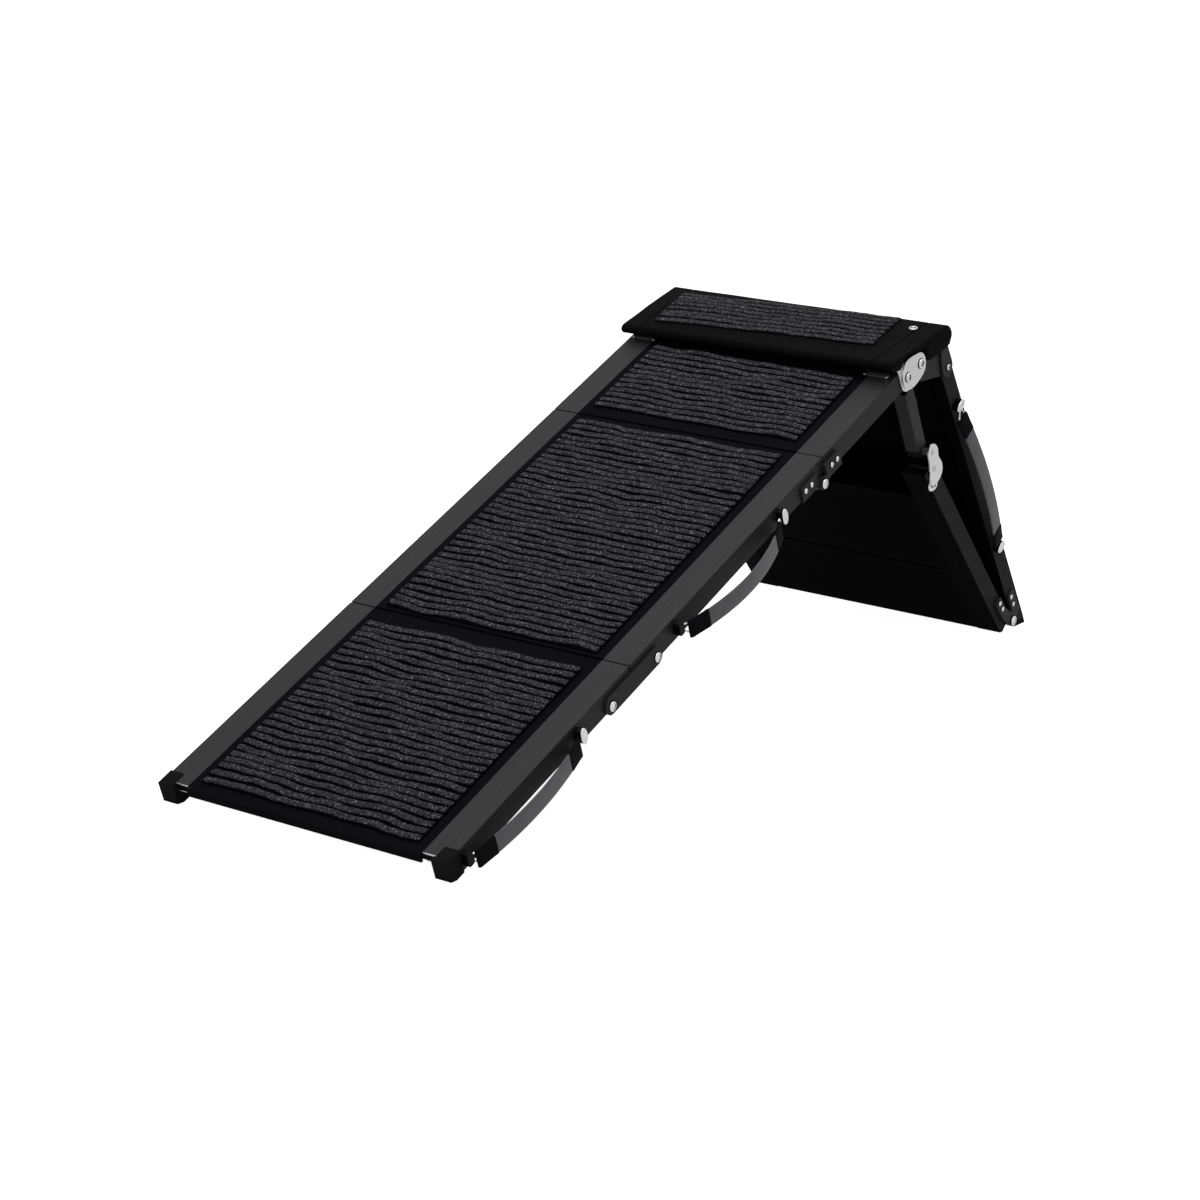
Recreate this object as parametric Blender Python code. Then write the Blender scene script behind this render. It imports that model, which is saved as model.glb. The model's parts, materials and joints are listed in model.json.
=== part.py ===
"""A folding dog ramp for a car or a sofa, standing as an A-frame.

A carpeted deck in three sections climbs along +X to a padded platform at the peak. A carpeted rear leg
stands behind it, held by a two-part brace. Sizes are in millimetres, angles in degrees from +X towards +Z,
and the right side is the -Y side. Each moving group hangs from an empty on its own joint axis.
"""

import math

import bmesh
import bpy
from mathutils import Matrix, Vector

MM = 0.001
GAP = 0.3
CENTRE_X = 738.58
CENTRE_Y = -12.25

# The rail is one hollow extrusion with a groove for the board
WIDTH = 430.0
BOX = 20.0
TALL = 30.0
WALL = 1.6
LIP_REACH = 39.0
LOWER_LIP_REACH = 36.0
GROOVE_LOW = 20.0
GROOVE_HIGH = 27.6
LOWER_LIP = 2.0

# The deck, measured along its slope from the foot
SLOPE = 22.73
FOOT = 6.0
FOLD = 396.0
HINGE = 886.0
DECK_END = 1133.0
SECTION_GAP = 2.0

# The cap on the deck's foot stands on a flat cut across its lower corner
CAP_THICK = 1.2
CAP_FRONT = -3.0
CAP_BACK = 23.0
CAP_FLAT = 12.0

# Boards, mats and carpet
BOARD_TALL = GROOVE_HIGH - GROOVE_LOW - 2 * GAP
MAT_THICK = 2.1
CARPET_BASE = 1.2
RIB_TALL = 3.4
RIB_PITCH = 13.0
RIB_WIDE = 9.0
CARPET_SIDE = 52.0

# The long links between the lower and the middle deck
LINK_SPAN = 106.0
LINK_HEIGHT = 7.0
LINK_THICK = 4.0

# The single-pin hinge between the middle and the upper deck
HINGE_PIN = (HINGE - 14.0, -2.0)
LEAF_THICK = 3.0
EYE = 8.5

# Pins and their holes
PIN = 3.0
HOLE = 3.06
HEAD = 6.5
HEAD_TALL = 2.6
SCREW_HEAD = 3.6
SCREW_TALL = 1.8
ROUND = 20
HEAD_ROUND = 12

# The peak plates turn on two pins: the front one in the deck, the rear one in the platform
PEAK_FRONT = (DECK_END - 14, 18.0)
PEAK_REAR = (DECK_END + 24, 18.0)
PEAK_PLATE_THICK = 2.8

# The platform's bars reach below and above the rear peak pin. The leg ends in a foot on the ground
BAR_BELOW = 28.7
BAR_ABOVE = 13.3
LEG_PIVOT = (1150.6, 446.2)
LEG_ANGLE = -54.0
LEG_START = -9.0
LEG_FOOT = 10.5
LEG_LIP_START = 24.0
LEG_SEAT = 18.2

# The long lower brace turns on a pin at the foot of the rear leg
BRACE_PIVOT = (1433.0, 17.0)
BRACE_ANGLE = 135.2
BRACE_START = 8.0
BRACE_END = 422.0
BRACE_FACE = -1.0
BRACE_SEAM = 168.0
LEVER_PIN = (419.4, 14.7)

# The short upper brace hangs below the end of the deck
UPPER_BRACE_PIVOT = (1056.5, 426.5)
UPPER_BRACE_ANGLE = -59.04
UPPER_BRACE_LONG = 113.7
UPPER_BRACE_HALF = 11.5
UPPER_BRACE_INSET = 8.0

# Strap handles on the right side
STRAP_WIDE = 26.0
STRAP_THICK = 3.0
STRAP_BOW = 23.0
REAR_STRAP_BOW = 10.0
SLEEVE_LONG = 30.0
SLEEVE_WALL = 0.8
RING_OUT = 6.0
BLOCK_HALF = 5.5
LOWER_BLOCK = CAP_BACK + GAP + BLOCK_HALF

FINISHES = {
    "anodised_black": ((0.035, 0.035, 0.037, 1), 0.38, 0.85),
    "black_steel": ((0.012, 0.012, 0.013, 1), 0.42, 0.6),
    "bright_steel": ((0.72, 0.72, 0.73, 1), 0.24, 1.0),
    "black_plastic": ((0.012, 0.012, 0.013, 1), 0.55, 0.0),
    "black_panel": ((0.008, 0.008, 0.009, 1), 0.5, 0.0),
    "mat_border": ((0.009, 0.009, 0.011, 1), 0.72, 0.0),
    "carpet": ((0.045, 0.045, 0.052, 1), 0.95, 0.0),
    "black_fabric": ((0.008, 0.008, 0.009, 1), 0.85, 0.0),
    "grey_webbing": ((0.10, 0.10, 0.11, 1), 0.5, 0.0),
}

RIGHT, LEFT = -1, 1
SIDES = {"right": RIGHT, "left": LEFT}


def turned_point(point, angle, origin=(0.0, 0.0)):
    """A point of a drawing turned by an angle about its own zero, then moved to origin."""
    c = math.cos(math.radians(angle))
    s = math.sin(math.radians(angle))
    return origin[0] + point[0] * c - point[1] * s, origin[1] + point[0] * s + point[1] * c


def ground_level():
    """The height of the caps' flats in the side view, whose zero is the lower front corner of the rails."""
    slope = math.radians(SLOPE)
    along = CAP_FRONT + CAP_FLAT * math.cos(slope)
    return along * math.sin(slope) - (CAP_THICK + GAP) * math.cos(slope)


class Frame:
    """An empty on a joint axis, and the drawing that its parts are measured in."""

    def __init__(self, name, pivot, angle=0.0, origin=(0.0, 0.0), parent=None):
        self.pivot = pivot
        x, z = turned_point(pivot, angle, origin)
        self.empty = bpy.data.objects.new(name, None)
        self.empty.empty_display_size = 0.05
        self.world = Matrix.Translation(((x - CENTRE_X) * MM, -CENTRE_Y * MM, (z - ground_level()) * MM))
        self.world = self.world @ Matrix.Rotation(-math.radians(angle), 4, "Y")
        COLLECTION.objects.link(self.empty)
        if parent:
            self.empty.parent = parent.empty
            self.empty.matrix_local = parent.world.inverted() @ self.world
        else:
            self.empty.matrix_world = self.world

    def point(self, u, y, n):
        return Vector(((u - self.pivot[0]) * MM, y * MM, (n - self.pivot[1]) * MM))


def clear_scene():
    for item in list(bpy.data.objects):
        bpy.data.objects.remove(item)


def new_collection(name):
    made = bpy.data.collections.new(name)
    bpy.context.scene.collection.children.link(made)
    return made


def from_edge(side, inset):
    """The Y of a place that lies inset from the outer face of one side."""
    return side * (WIDTH / 2 - inset)


def finish(item, kind):
    colour, roughness, metallic = FINISHES[kind]
    material = bpy.data.materials.new(f"{item.name}_{kind}")
    material.use_nodes = True
    shader = material.node_tree.nodes["Principled BSDF"]
    shader.inputs["Base Color"].default_value = colour
    shader.inputs["Roughness"].default_value = roughness
    shader.inputs["Metallic"].default_value = metallic
    material.diffuse_color = colour
    item.data.materials.append(material)


def mesh_of(name, frame, bodies):
    """One mesh made of closed bodies, moved from their side view into a frame."""
    mesh = bpy.data.meshes.new(name)
    work = bmesh.new()
    for body in bodies:
        for vert in body.verts:
            vert.co = frame.point(*vert.co)
        body.to_mesh(mesh)
        body.free()
        work.from_mesh(mesh)
    bmesh.ops.recalc_face_normals(work, faces=work.faces)
    work.to_mesh(mesh)
    work.free()
    return mesh


def new_part(name, frame, kind, body):
    item = bpy.data.objects.new(name, mesh_of(name, frame, [body]))
    item.parent = frame.empty
    COLLECTION.objects.link(item)
    finish(item, kind)
    return item


def change(item, frame, operation, bodies):
    """Cuts bodies from a part, or joins them to it."""
    name = f"{operation.lower()}_{len(item.modifiers)}_{item.name}"
    tool = bpy.data.objects.new(name, mesh_of(name, frame, bodies))
    tool.parent = frame.empty
    tool.hide_render = True
    tool.display_type = "WIRE"
    CUTTERS.objects.link(tool)
    modifier = item.modifiers.new(name, "BOOLEAN")
    modifier.operation = operation
    modifier.solver = "EXACT"
    modifier.object = tool


def cut(item, frame, *bodies):
    change(item, frame, "DIFFERENCE", bodies)


def join(item, frame, *bodies):
    change(item, frame, "UNION", bodies)


def extruded(loops, place, start, end):
    """A closed body from flat loops, the first one outside and the rest holes."""
    work = bmesh.new()
    for loop in loops:
        corners = [work.verts.new((a, b, 0)) for a, b in loop]
        for before, corner in zip(corners[-1:] + corners, corners):
            work.edges.new((before, corner))
    bmesh.ops.triangle_fill(work, edges=work.edges[:], normal=(0, 0, 1))
    made = bmesh.ops.extrude_face_region(work, geom=work.faces[:], use_keep_orig=True)
    far = {item for item in made["geom"] if isinstance(item, bmesh.types.BMVert)}
    for vert in work.verts:
        vert.co = place(vert.co.x, vert.co.y, end if vert in far else start)
    return work


def side_body(outline, side, inset_from, inset_to):
    """A side-view outline extruded across the ramp, between two insets from one side."""
    return extruded(
        [outline],
        lambda u, n, inset: (u, from_edge(side, inset), n),
        inset_from,
        inset_to,
    )


def along_body(loops, side, start, end, base=0.0, slant=(0.0, 0.0)):
    """A section drawn as (inset, height) extruded along the rail. slant shears each end with height."""
    lean = {start: slant[0], end: slant[1]}
    return extruded(
        loops,
        lambda inset, n, u: (u + lean[u] * n, from_edge(side, inset), base + n),
        start,
        end,
    )


def turned(place, steps, count=ROUND):
    """A turned body. place takes two offsets from the axis and a distance along it."""
    count = round(count)
    work = bmesh.new()
    profile = [work.verts.new((radius, 0, along)) for along, radius in steps]
    for pair in zip(profile, profile[1:]):
        work.edges.new(pair)
    edge = work.verts[:] + work.edges[:]
    bmesh.ops.spin(work, geom=edge, axis=(0, 0, 1), angle=math.tau, steps=count)
    bmesh.ops.remove_doubles(work, verts=work.verts, dist=0.001)
    bmesh.ops.holes_fill(work, edges=work.edges, sides=count)
    for vert in work.verts:
        vert.co = place(*vert.co)
    return work


def lathe(u, n, side, steps, count=ROUND):
    """A body turned about an axis across the ramp. steps are (inset, radius)."""
    return turned(lambda a, b, inset: (u + a, from_edge(side, inset), n + b), steps, count)


def lathe_along(inset, n, steps):
    """A body turned about an axis along the right rail. steps are (u, radius)."""
    return turned(lambda a, b, u: (u, from_edge(RIGHT, inset + a), n + b), steps)


def arc(centre, radius, start, end, count=10):
    return [
        (
            centre[0] + radius * math.cos(math.radians(start + (end - start) * i / count)),
            centre[1] + radius * math.sin(math.radians(start + (end - start) * i / count)),
        )
        for i in range(count + 1)
    ]


def box(low, high):
    return [(low[0], low[1]), (high[0], low[1]), (high[0], high[1]), (low[0], high[1])]


def rounded_box(low, high, radius, count=5):
    """A rectangle in the side view with round corners."""
    (a, b), (c, d) = low, high
    return (
        arc((c - radius, b + radius), radius, -90, 0, count)
        + arc((c - radius, d - radius), radius, 0, 90, count)
        + arc((a + radius, d - radius), radius, 90, 180, count)
        + arc((a + radius, b + radius), radius, 180, 270, count)
    )


def bore(item, frame, side, holes, reach=12.0):
    """Cuts round holes across one side, one for each (u, n)."""
    steps = [(-reach, HOLE), (LIP_REACH - 2, HOLE)]
    cut(item, frame, *[lathe(u, n, side, steps) for u, n in holes])


def rail_section():
    """The rail's section: a hollow box, an upper lip and a lower lip with the board's groove between."""
    outer = [
        (0, 0),
        (BOX, 0),
        (BOX, GROOVE_LOW - LOWER_LIP),
        (LOWER_LIP_REACH, GROOVE_LOW - LOWER_LIP),
        (LOWER_LIP_REACH, GROOVE_LOW),
        (BOX, GROOVE_LOW),
        (BOX, GROOVE_HIGH),
        (LIP_REACH, GROOVE_HIGH),
        (LIP_REACH, TALL),
        (0, TALL),
    ]
    return [outer, box((WALL, WALL), (BOX - WALL, TALL - WALL))]


def rails(prefix, frame, start, end, base=0.0, holes=(), slant=(0.0, 0.0)):
    """A right and a left rail, as a dictionary by side name."""
    made = {}
    for name, side in SIDES.items():
        body = along_body(rail_section(), side, start, end, base, slant)
        made[name] = new_part(f"{prefix}_rail_{name}", frame, "anodised_black", body)
        if holes:
            bore(made[name], frame, side, holes)
    return made


def board(name, frame, start, end, base=0.0):
    low = base + GROOVE_LOW + GAP
    outline = box((start, low), (end, low + BOARD_TALL))
    inset = BOX + 0.4
    return new_part(name, frame, "black_panel", side_body(outline, RIGHT, inset, WIDTH - inset))


def ribbed_outline(start, count, base):
    """Carpet seen from the side: a thin backing with ribs that run across the ramp."""
    outline = [(start, base)]
    low = base + CARPET_BASE
    top = low + RIB_TALL
    end = start
    for i in range(count):
        left = start + i * RIB_PITCH
        end = left + RIB_WIDE
        outline += [(left, low), (left + 1.6, top), (end - 1.6, top), (end, low)]
    outline.append((end, base))
    outline.reverse()
    return outline


def mat(prefix, frame, start, end, ribs_from, ribs_to, base=0.0, front=()):
    """The smooth black mat on the board, and the ribbed carpet strip in its middle."""
    ribs = int((ribs_to - ribs_from - RIB_WIDE) / RIB_PITCH) + 1
    low = base + GROOVE_HIGH + GAP
    top = low + MAT_THICK
    inset = LIP_REACH + 0.5
    outline = list(front) + [(end, low), (end, top), (start, top)]
    if not front:
        outline = [(start, low)] + outline
    border = side_body(outline, RIGHT, inset, WIDTH - inset)
    new_part(f"{prefix}_mat_border", frame, "mat_border", border)
    strip = ribbed_outline(ribs_from, ribs, top + GAP)
    carpet = side_body(strip, RIGHT, CARPET_SIDE, WIDTH - CARPET_SIDE)
    new_part(f"{prefix}_carpet", frame, "carpet", carpet)


def screw_heads(places, side, face):
    """Round screw heads that stand on a face and reach a little into it."""
    steps = [(face - SCREW_TALL, SCREW_HEAD * 0.6), (face - 0.5, SCREW_HEAD), (face + 0.8, SCREW_HEAD)]
    return [lathe(u, n, side, steps, HEAD_ROUND) for u, n in places]


def bolt(u, n, side, face, inner, head=HEAD):
    """A low domed head outside a face, and a shank to an inner end."""
    steps = [
        (face - HEAD_TALL, head * 0.6),
        (face - HEAD_TALL * 0.4, head),
        (face, head),
        (face, PIN),
        (inner, PIN),
    ]
    return lathe(u, n, side, steps)


def lower_deck(frame):
    end = FOLD - SECTION_GAP / 2
    sides = rails("lower", frame, FOOT, end, holes=[(FOLD - LINK_SPAN / 2, LINK_HEIGHT)])
    board("lower_deck_board", frame, 5.0, end)
    low = GROOVE_HIGH + GAP
    front = [(0.5, GROOVE_LOW - LOWER_LIP), (4.5, GROOVE_LOW - LOWER_LIP), (4.5, low)]
    mat("lower", frame, 0.5, end - 1, 20.0, FOLD - 28, front=front)
    for name, side in SIDES.items():
        foot_cap(frame, name, side)
    return sides


def foot_cap(frame, name, side):
    """A cup over the foot end of a rail, with a flat that rests on the ground."""
    low = -CAP_THICK - GAP
    high = TALL + GAP + CAP_THICK
    block = [
        (CAP_FRONT, low + CAP_FLAT * math.sin(math.radians(SLOPE))),
        (CAP_FRONT + CAP_FLAT * math.cos(math.radians(SLOPE)), low),
        (CAP_BACK, low),
        (CAP_BACK, high),
        (CAP_FRONT, high),
    ]
    body = side_body(block, side, low, BOX + GAP + CAP_THICK)
    cap = new_part(f"foot_cap_{name}", frame, "black_plastic", body)
    hollow = box((FOOT - GAP, -GAP), (CAP_BACK + 5, TALL + GAP))
    lips = box((4.2, GROOVE_LOW - LOWER_LIP - GAP), (CAP_BACK + 6, high + 5))
    cut(cap, frame, side_body(hollow, side, -GAP, BOX + GAP))
    cut(cap, frame, side_body(lips, side, BOX - 1, BOX + CAP_THICK + 5))


def middle_deck(frame):
    start = FOLD + SECTION_GAP / 2
    end = HINGE - SECTION_GAP / 2
    sides = rails("middle", frame, start, end, holes=[(FOLD + LINK_SPAN / 2, LINK_HEIGHT)])
    board("middle_deck_board", frame, start, end)
    mat("middle", frame, start + 1, end - 1, FOLD + 9, HINGE - 16)
    hinge_leaves("middle_hinge_leaf", frame, -1, 0, [(HINGE_PIN[0] - 42, 12), (HINGE_PIN[0] - 26, 12)])
    return sides


def hinge_leaves(name, frame, way, layer, screws):
    """Leaves of the deck hinge. The outer pair steps out over the inner pair round the pin."""
    pin = HINGE_PIN
    step = LEAF_THICK + GAP
    face = -(layer + 1) * step
    near, far = pin[0] + way * (EYE + 1.2), pin[0] + way * 50.0
    plate = box((min(near, far), -1.5), (max(near, far), 20.0))
    root = near + way * 8
    if way > 0:
        eye = arc(pin, EYE, 100, 300, 14) + [(root, -1.5), (root, 7.0)]
    else:
        eye = arc(pin, EYE, 80, -120, 14) + [(root, -1.5), (root, 7.0)]
    for side_name, side in SIDES.items():
        leaf = new_part(f"{name}_{side_name}", frame, "black_steel", side_body(plate, side, face, -GAP))
        join(leaf, frame, side_body(eye, side, face, face + LEAF_THICK))
        join(leaf, frame, *screw_heads(screws, side, face))
        bore(leaf, frame, side, [pin])


def fold_links(frame):
    """Long links that let the lower deck fold flat under the middle deck. Their pins run in the rails."""
    low, high = FOLD - LINK_SPAN / 2, FOLD + LINK_SPAN / 2
    half = 12.5
    centre = LINK_HEIGHT + 1.5
    outline = arc((high, centre), half, -90, 90) + arc((low, centre), half, 90, 270)
    for name, side in SIDES.items():
        plate = side_body(outline, side, -LINK_THICK, -GAP)
        item = new_part(f"fold_link_{name}", frame, "black_steel", plate)
        join(item, frame, *[bolt(u, LINK_HEIGHT, side, -LINK_THICK + 0.5, BOX + 3) for u in (low, high)])


def upper_deck(frame):
    start = HINGE + SECTION_GAP / 2
    rails("upper", frame, start, DECK_END, holes=[PEAK_FRONT])
    board("upper_deck_board", frame, start, DECK_END - 2)
    mat("upper", frame, start + 1, DECK_END - 52, HINGE + 24, DECK_END - 57)
    hinge_leaves("upper_hinge_leaf", frame, 1, 1, [(HINGE_PIN[0] + 24, 13), (HINGE_PIN[0] + 39, 13)])
    face = -2 * (LEAF_THICK + GAP) - GAP
    for name, side in SIDES.items():
        pin = bolt(*HINGE_PIN, side, face, -GAP)
        new_part(f"deck_hinge_pin_{name}", frame, "bright_steel", pin)
        brace_tab(frame, name, side)
    lip_pad(frame)


def deck_to_side(u, n):
    """From the deck's own drawing to the side view."""
    return turned_point((u, n), SLOPE)


def side_to_deck(x, z):
    return turned_point((x, z), -SLOPE)


def platform_level(above):
    """A height in the side view, given from the rear peak pin."""
    return deck_to_side(*PEAK_REAR)[1] + above


def lip_pad(frame):
    """The padded front roll of the platform's cover, which lies on the end of the deck."""
    front = DECK_END - 39
    top = platform_level(BAR_ABOVE)
    roll = arc(deck_to_side(front, TALL + 18), 15.5, 230, 112, 8)
    rear = [(1029, top + 13), (1034.5, top - 2.5)]
    outline = [side_to_deck(*point) for point in roll + rear]
    outline += [(DECK_END - 8, TALL + 0.6), (front, TALL + 0.6)]
    new_part("peak_lip_pad", frame, "black_fabric", side_body(outline, RIGHT, 0, WIDTH))


def brace_tab(frame, name, side):
    """A steel tab under the deck's end that carries the upper brace."""
    centre = side_to_deck(*UPPER_BRACE_PIVOT)
    top = GROOVE_LOW - LOWER_LIP - GAP
    outline = [(1112, top), (1112, top - 10)] + arc(centre, 7.5, 215, 380, 12) + [(1146, top)]
    tab = new_part(f"upper_brace_tab_{name}", frame, "black_steel", side_body(outline, side, 31.6, 34.6))
    bore(tab, frame, side, [centre])


def peak_link(frame):
    """Bright double plates with a pin into the deck and a pin into the platform."""
    outline = [
        (1116, -3),
        (1144, -1),
        (1170, 6),
        (1174, 16),
        (1168, 31),
        (1124, 43),
        (1106, 33),
        (1102, 12),
        (1107, 1),
    ]
    step = PEAK_PLATE_THICK + GAP
    inner = [(u - 5, n - 4) for u, n in outline]
    for name, side in SIDES.items():
        plate = side_body(outline, side, -2 * step, -step - GAP)
        item = new_part(f"peak_hinge_plate_{name}", frame, "bright_steel", plate)
        bodies = [bolt(*place, side, -2 * step + 0.5, BOX + 0.2, 6.5) for place in (PEAK_FRONT, PEAK_REAR)]
        join(item, frame, *bodies)
        join(item, frame, side_body(inner, side, -step, -GAP))


def platform(frame):
    for name, side in SIDES.items():
        platform_bar(frame, name, side)
    low = platform_level(BAR_ABOVE) + GAP
    pad = [(1044.0, low), (1143, low)]
    pad += arc((1136, low + 9.7), 12.0, -35, 50, 6)
    pad += arc((1116, low + 12.7), 16.5, 50, 95, 5)
    pad.append((1044.0, low + 14.7))
    item = new_part("platform_pad", frame, "black_fabric", side_body(pad, RIGHT, -3.0, WIDTH + 3.0))
    skirt = [(1084, low - 9.8), (1140, low - 7.3), (1146, low + 1), (1084, low + 1)]
    join(item, frame, *[side_body(skirt, side, -3.0, -GAP) for side in SIDES.values()])
    slope = math.degrees(math.atan2(13.5, 64))
    outline = [turned_point(point, slope, (1047, low + 15.9)) for point in ribbed_outline(0, 5, 0)]
    strip = side_body(outline, RIGHT, CARPET_SIDE, WIDTH - CARPET_SIDE)
    new_part("platform_carpet", frame, "carpet", strip)


def platform_bar(frame, name, side):
    """A side bar from the peak plates to the leg, with a round seat and an ear for the leg's end."""
    low, top = platform_level(-BAR_BELOW), platform_level(BAR_ABOVE)
    seat_low = math.degrees(math.asin((low - LEG_PIVOT[1]) / LEG_SEAT))
    rear_pin = deck_to_side(*PEAK_REAR)
    outline = arc(rear_pin, BAR_ABOVE, 90, 232, 12)
    outline.append((1078, low))
    outline += arc(LEG_PIVOT, LEG_SEAT, 180 - seat_low, 67, 12)
    outline.append((1146.3, top))
    bar = new_part(f"platform_bar_{name}", frame, "anodised_black", side_body(outline, side, 0, BOX))
    bore(bar, frame, side, [rear_pin])
    ear = [(1096, 441), (1096, 466), (1140, 466)] + arc(LEG_PIVOT, 12.0, 60, -120, 12)
    weld = box((1098, 443), (1124, 464))
    join(bar, frame, side_body(ear, side, BOX + GAP, BOX + 5))
    join(bar, frame, side_body(weld, side, BOX - 2, BOX + 2))
    join(bar, frame, bolt(*LEG_PIVOT, side, -GAP, BOX + 3, 3.9))


def leg_on_ground():
    """How far along the leg's lower face its foot meets the ground."""
    down = math.radians(-LEG_ANGLE)
    return (LEG_PIVOT[1] - TALL / 2 * math.cos(down) - ground_level()) / math.sin(down)


def rear_leg(frame):
    """The carpeted rear leg. Its rails lose their lips near the pivot, to pass the platform's ears."""
    base = -TALL / 2
    end = leg_on_ground() - LEG_FOOT
    slant = 1 / math.tan(math.radians(-LEG_ANGLE))
    sides = rails("rear", frame, LEG_START, end, base, [(0, 0)], (0.0, slant))
    for name, side in SIDES.items():
        lips = box((-60, base - 5), (LEG_LIP_START, base + TALL + 5))
        cut(sides[name], frame, side_body(lips, side, BOX + 0.01, LIP_REACH + 5))
        leg_foot(frame, name, side, base, slant)
        leg_leaf(frame, name, side, end)
    board("rear_leg_board", frame, LEG_LIP_START + 4, end + 8, base)
    mat("rear", frame, LEG_LIP_START + 4, end + 8, LEG_LIP_START + 16, end - 10, base)
    return sides


def leg_foot(frame, name, side, base, slant):
    """A plastic cap on the lower end of one rail of the rear leg."""
    body = extruded(
        [box((0.0, 0.0), (BOX, TALL))],
        lambda inset, n, u: (u + slant * n, from_edge(side, inset), base + n),
        leg_on_ground() - LEG_FOOT + GAP,
        leg_on_ground(),
    )
    new_part(f"rear_foot_{name}", frame, "black_plastic", body)


def leg_leaf(frame, name, side, end):
    """A hinge leaf on the foot of the rear leg, with the pin of the lower brace."""
    pivot = turned_point((BRACE_PIVOT[0] - LEG_PIVOT[0], BRACE_PIVOT[1] - LEG_PIVOT[1]), -LEG_ANGLE)
    start = end - 58
    outline = [(start, 4), (start, -14), (pivot[0] - 12, -14)]
    outline += arc(pivot, EYE, 200, 380, 12)
    outline += [(pivot[0] + 10, -8), (pivot[0] + 4, 6)]
    face = -LEAF_THICK - GAP
    leaf = new_part(f"leg_foot_leaf_{name}", frame, "black_steel", side_body(outline, side, face, -GAP))
    join(leaf, frame, *screw_heads([(start + 8, -7), (start + 24, -7)], side, face))
    join(leaf, frame, bolt(*pivot, side, 2 * face - GAP, face + 1.5, 7.5))


def lower_brace(frame):
    """The long brace: a smooth panel between two rails, hinged at the foot of the rear leg."""
    rails("brace", frame, BRACE_START, BRACE_END, BRACE_FACE, [LEVER_PIN])
    low, step, high = GROOVE_LOW + GAP, GROOVE_HIGH - GAP, TALL - 0.5
    wide, narrow = BOX + 0.4, LIP_REACH + 0.5
    section = [
        (wide, low),
        (WIDTH - wide, low),
        (WIDTH - wide, step),
        (WIDTH - narrow, step),
        (WIDTH - narrow, high),
        (narrow, high),
        (narrow, step),
        (wide, step),
    ]
    body = along_body([section], RIGHT, BRACE_START, BRACE_END - 62, BRACE_FACE)
    panel = new_part("brace_panel", frame, "black_panel", body)
    seam = box((BRACE_SEAM - 2, BRACE_FACE + high - 1.4), (BRACE_SEAM + 2, BRACE_FACE + high + 5))
    cut(panel, frame, side_body(seam, RIGHT, narrow - 5, WIDTH - narrow + 5))
    cap = [(3.5, 7.0), (BRACE_START - GAP, 7.0), (BRACE_START - GAP, 28.8), (3.5, 24.6)]
    for name, side in SIDES.items():
        new_part(f"brace_foot_cap_{name}", frame, "black_plastic", side_body(cap, side, 0, BOX))
        brace_leaf(frame, name, side)


def brace_leaf(frame, name, side):
    """A hinge leaf on the lower brace. Its eye lies outside the eye of the leg's leaf."""
    step = LEAF_THICK + GAP
    pad = rounded_box((24, 2), (70, 18), 3)
    arm = [(48, 4), (48, 16), (26, 17)] + arc((0, 0), EYE, 120, 300, 12)
    leaf = new_part(f"brace_foot_leaf_{name}", frame, "black_steel", side_body(pad, side, -2 * step, -GAP))
    join(leaf, frame, side_body(arm, side, -2 * step, -step - GAP))
    join(leaf, frame, *screw_heads([(48, 10), (63, 10)], side, -2 * step))
    bore(leaf, frame, side, [(0, 0)])


def lever(frame):
    """Bright levers on the lower brace, whose upper end meets the upper brace."""
    pin = lever_pin_in_side_view()
    eye = upper_brace_end()
    tail = (pin[0] + 11, pin[1] - 25)
    outline = arc(eye, 9.5, 35, 195, 8)
    outline += arc(tail, 8.0, 200, 330, 8)
    outline += arc((pin[0] + 11, pin[1] - 4), 15.0, -28, 40, 7)
    outline.append((pin[0] + 6, pin[1] + 17))
    for name, side in SIDES.items():
        item = new_part(f"brace_lever_{name}", frame, "bright_steel", side_body(outline, side, -4.0, -0.6))
        spacer = [(-1.5, 5.5), (UPPER_BRACE_INSET - GAP, 5.5)]
        rivets = [bolt(*place, side, -3.5, -1.0, 5.0) for place in (eye, tail)]
        join(item, frame, bolt(*pin, side, -3.5, BOX + 2.5, 5.5), *rivets)
        join(item, frame, lathe(*eye, side, spacer))


def lever_pin_in_side_view():
    return turned_point(LEVER_PIN, BRACE_ANGLE, BRACE_PIVOT)


def upper_brace_end():
    return turned_point((UPPER_BRACE_LONG, 0), UPPER_BRACE_ANGLE, UPPER_BRACE_PIVOT)


def upper_brace(frame):
    """The short upper brace: two box rails with lugs and bumpers, a panel with a hand slot, end caps."""
    start = 4.0
    end = UPPER_BRACE_LONG - 6
    half = UPPER_BRACE_HALF
    inset = UPPER_BRACE_INSET
    tip = UPPER_BRACE_LONG + 6
    section = [
        box((inset, 0), (inset + BOX, 2 * half)),
        box((inset + WALL, WALL), (inset + BOX - WALL, 2 * half - WALL)),
    ]
    lug = arc((0, 0), 7.5, 90, 270, 10) + [(34, -7.5), (34, 7.5)]
    bumper = rounded_box((33, half - 1), (45, half + 9), 2.5)
    cap = [(end + GAP, -half), (tip, -9.5), (tip, 9.5), (end + GAP, half)]
    for name, side in SIDES.items():
        body = along_body(section, side, start, end, -half)
        rail = new_part(f"upper_brace_rail_{name}", frame, "anodised_black", body)
        join(rail, frame, side_body(lug, side, inset + BOX - 0.8, 31.3))
        join(rail, frame, side_body(bumper, side, inset + 5, inset + 15))
        join(rail, frame, lathe(0, 0, side, [(30.0, PIN), (36.5, PIN)]))
        item = side_body(cap, side, inset, inset + BOX)
        new_part(f"upper_brace_cap_{name}", frame, "black_plastic", item)
    upper_brace_panel(frame, end)


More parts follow.
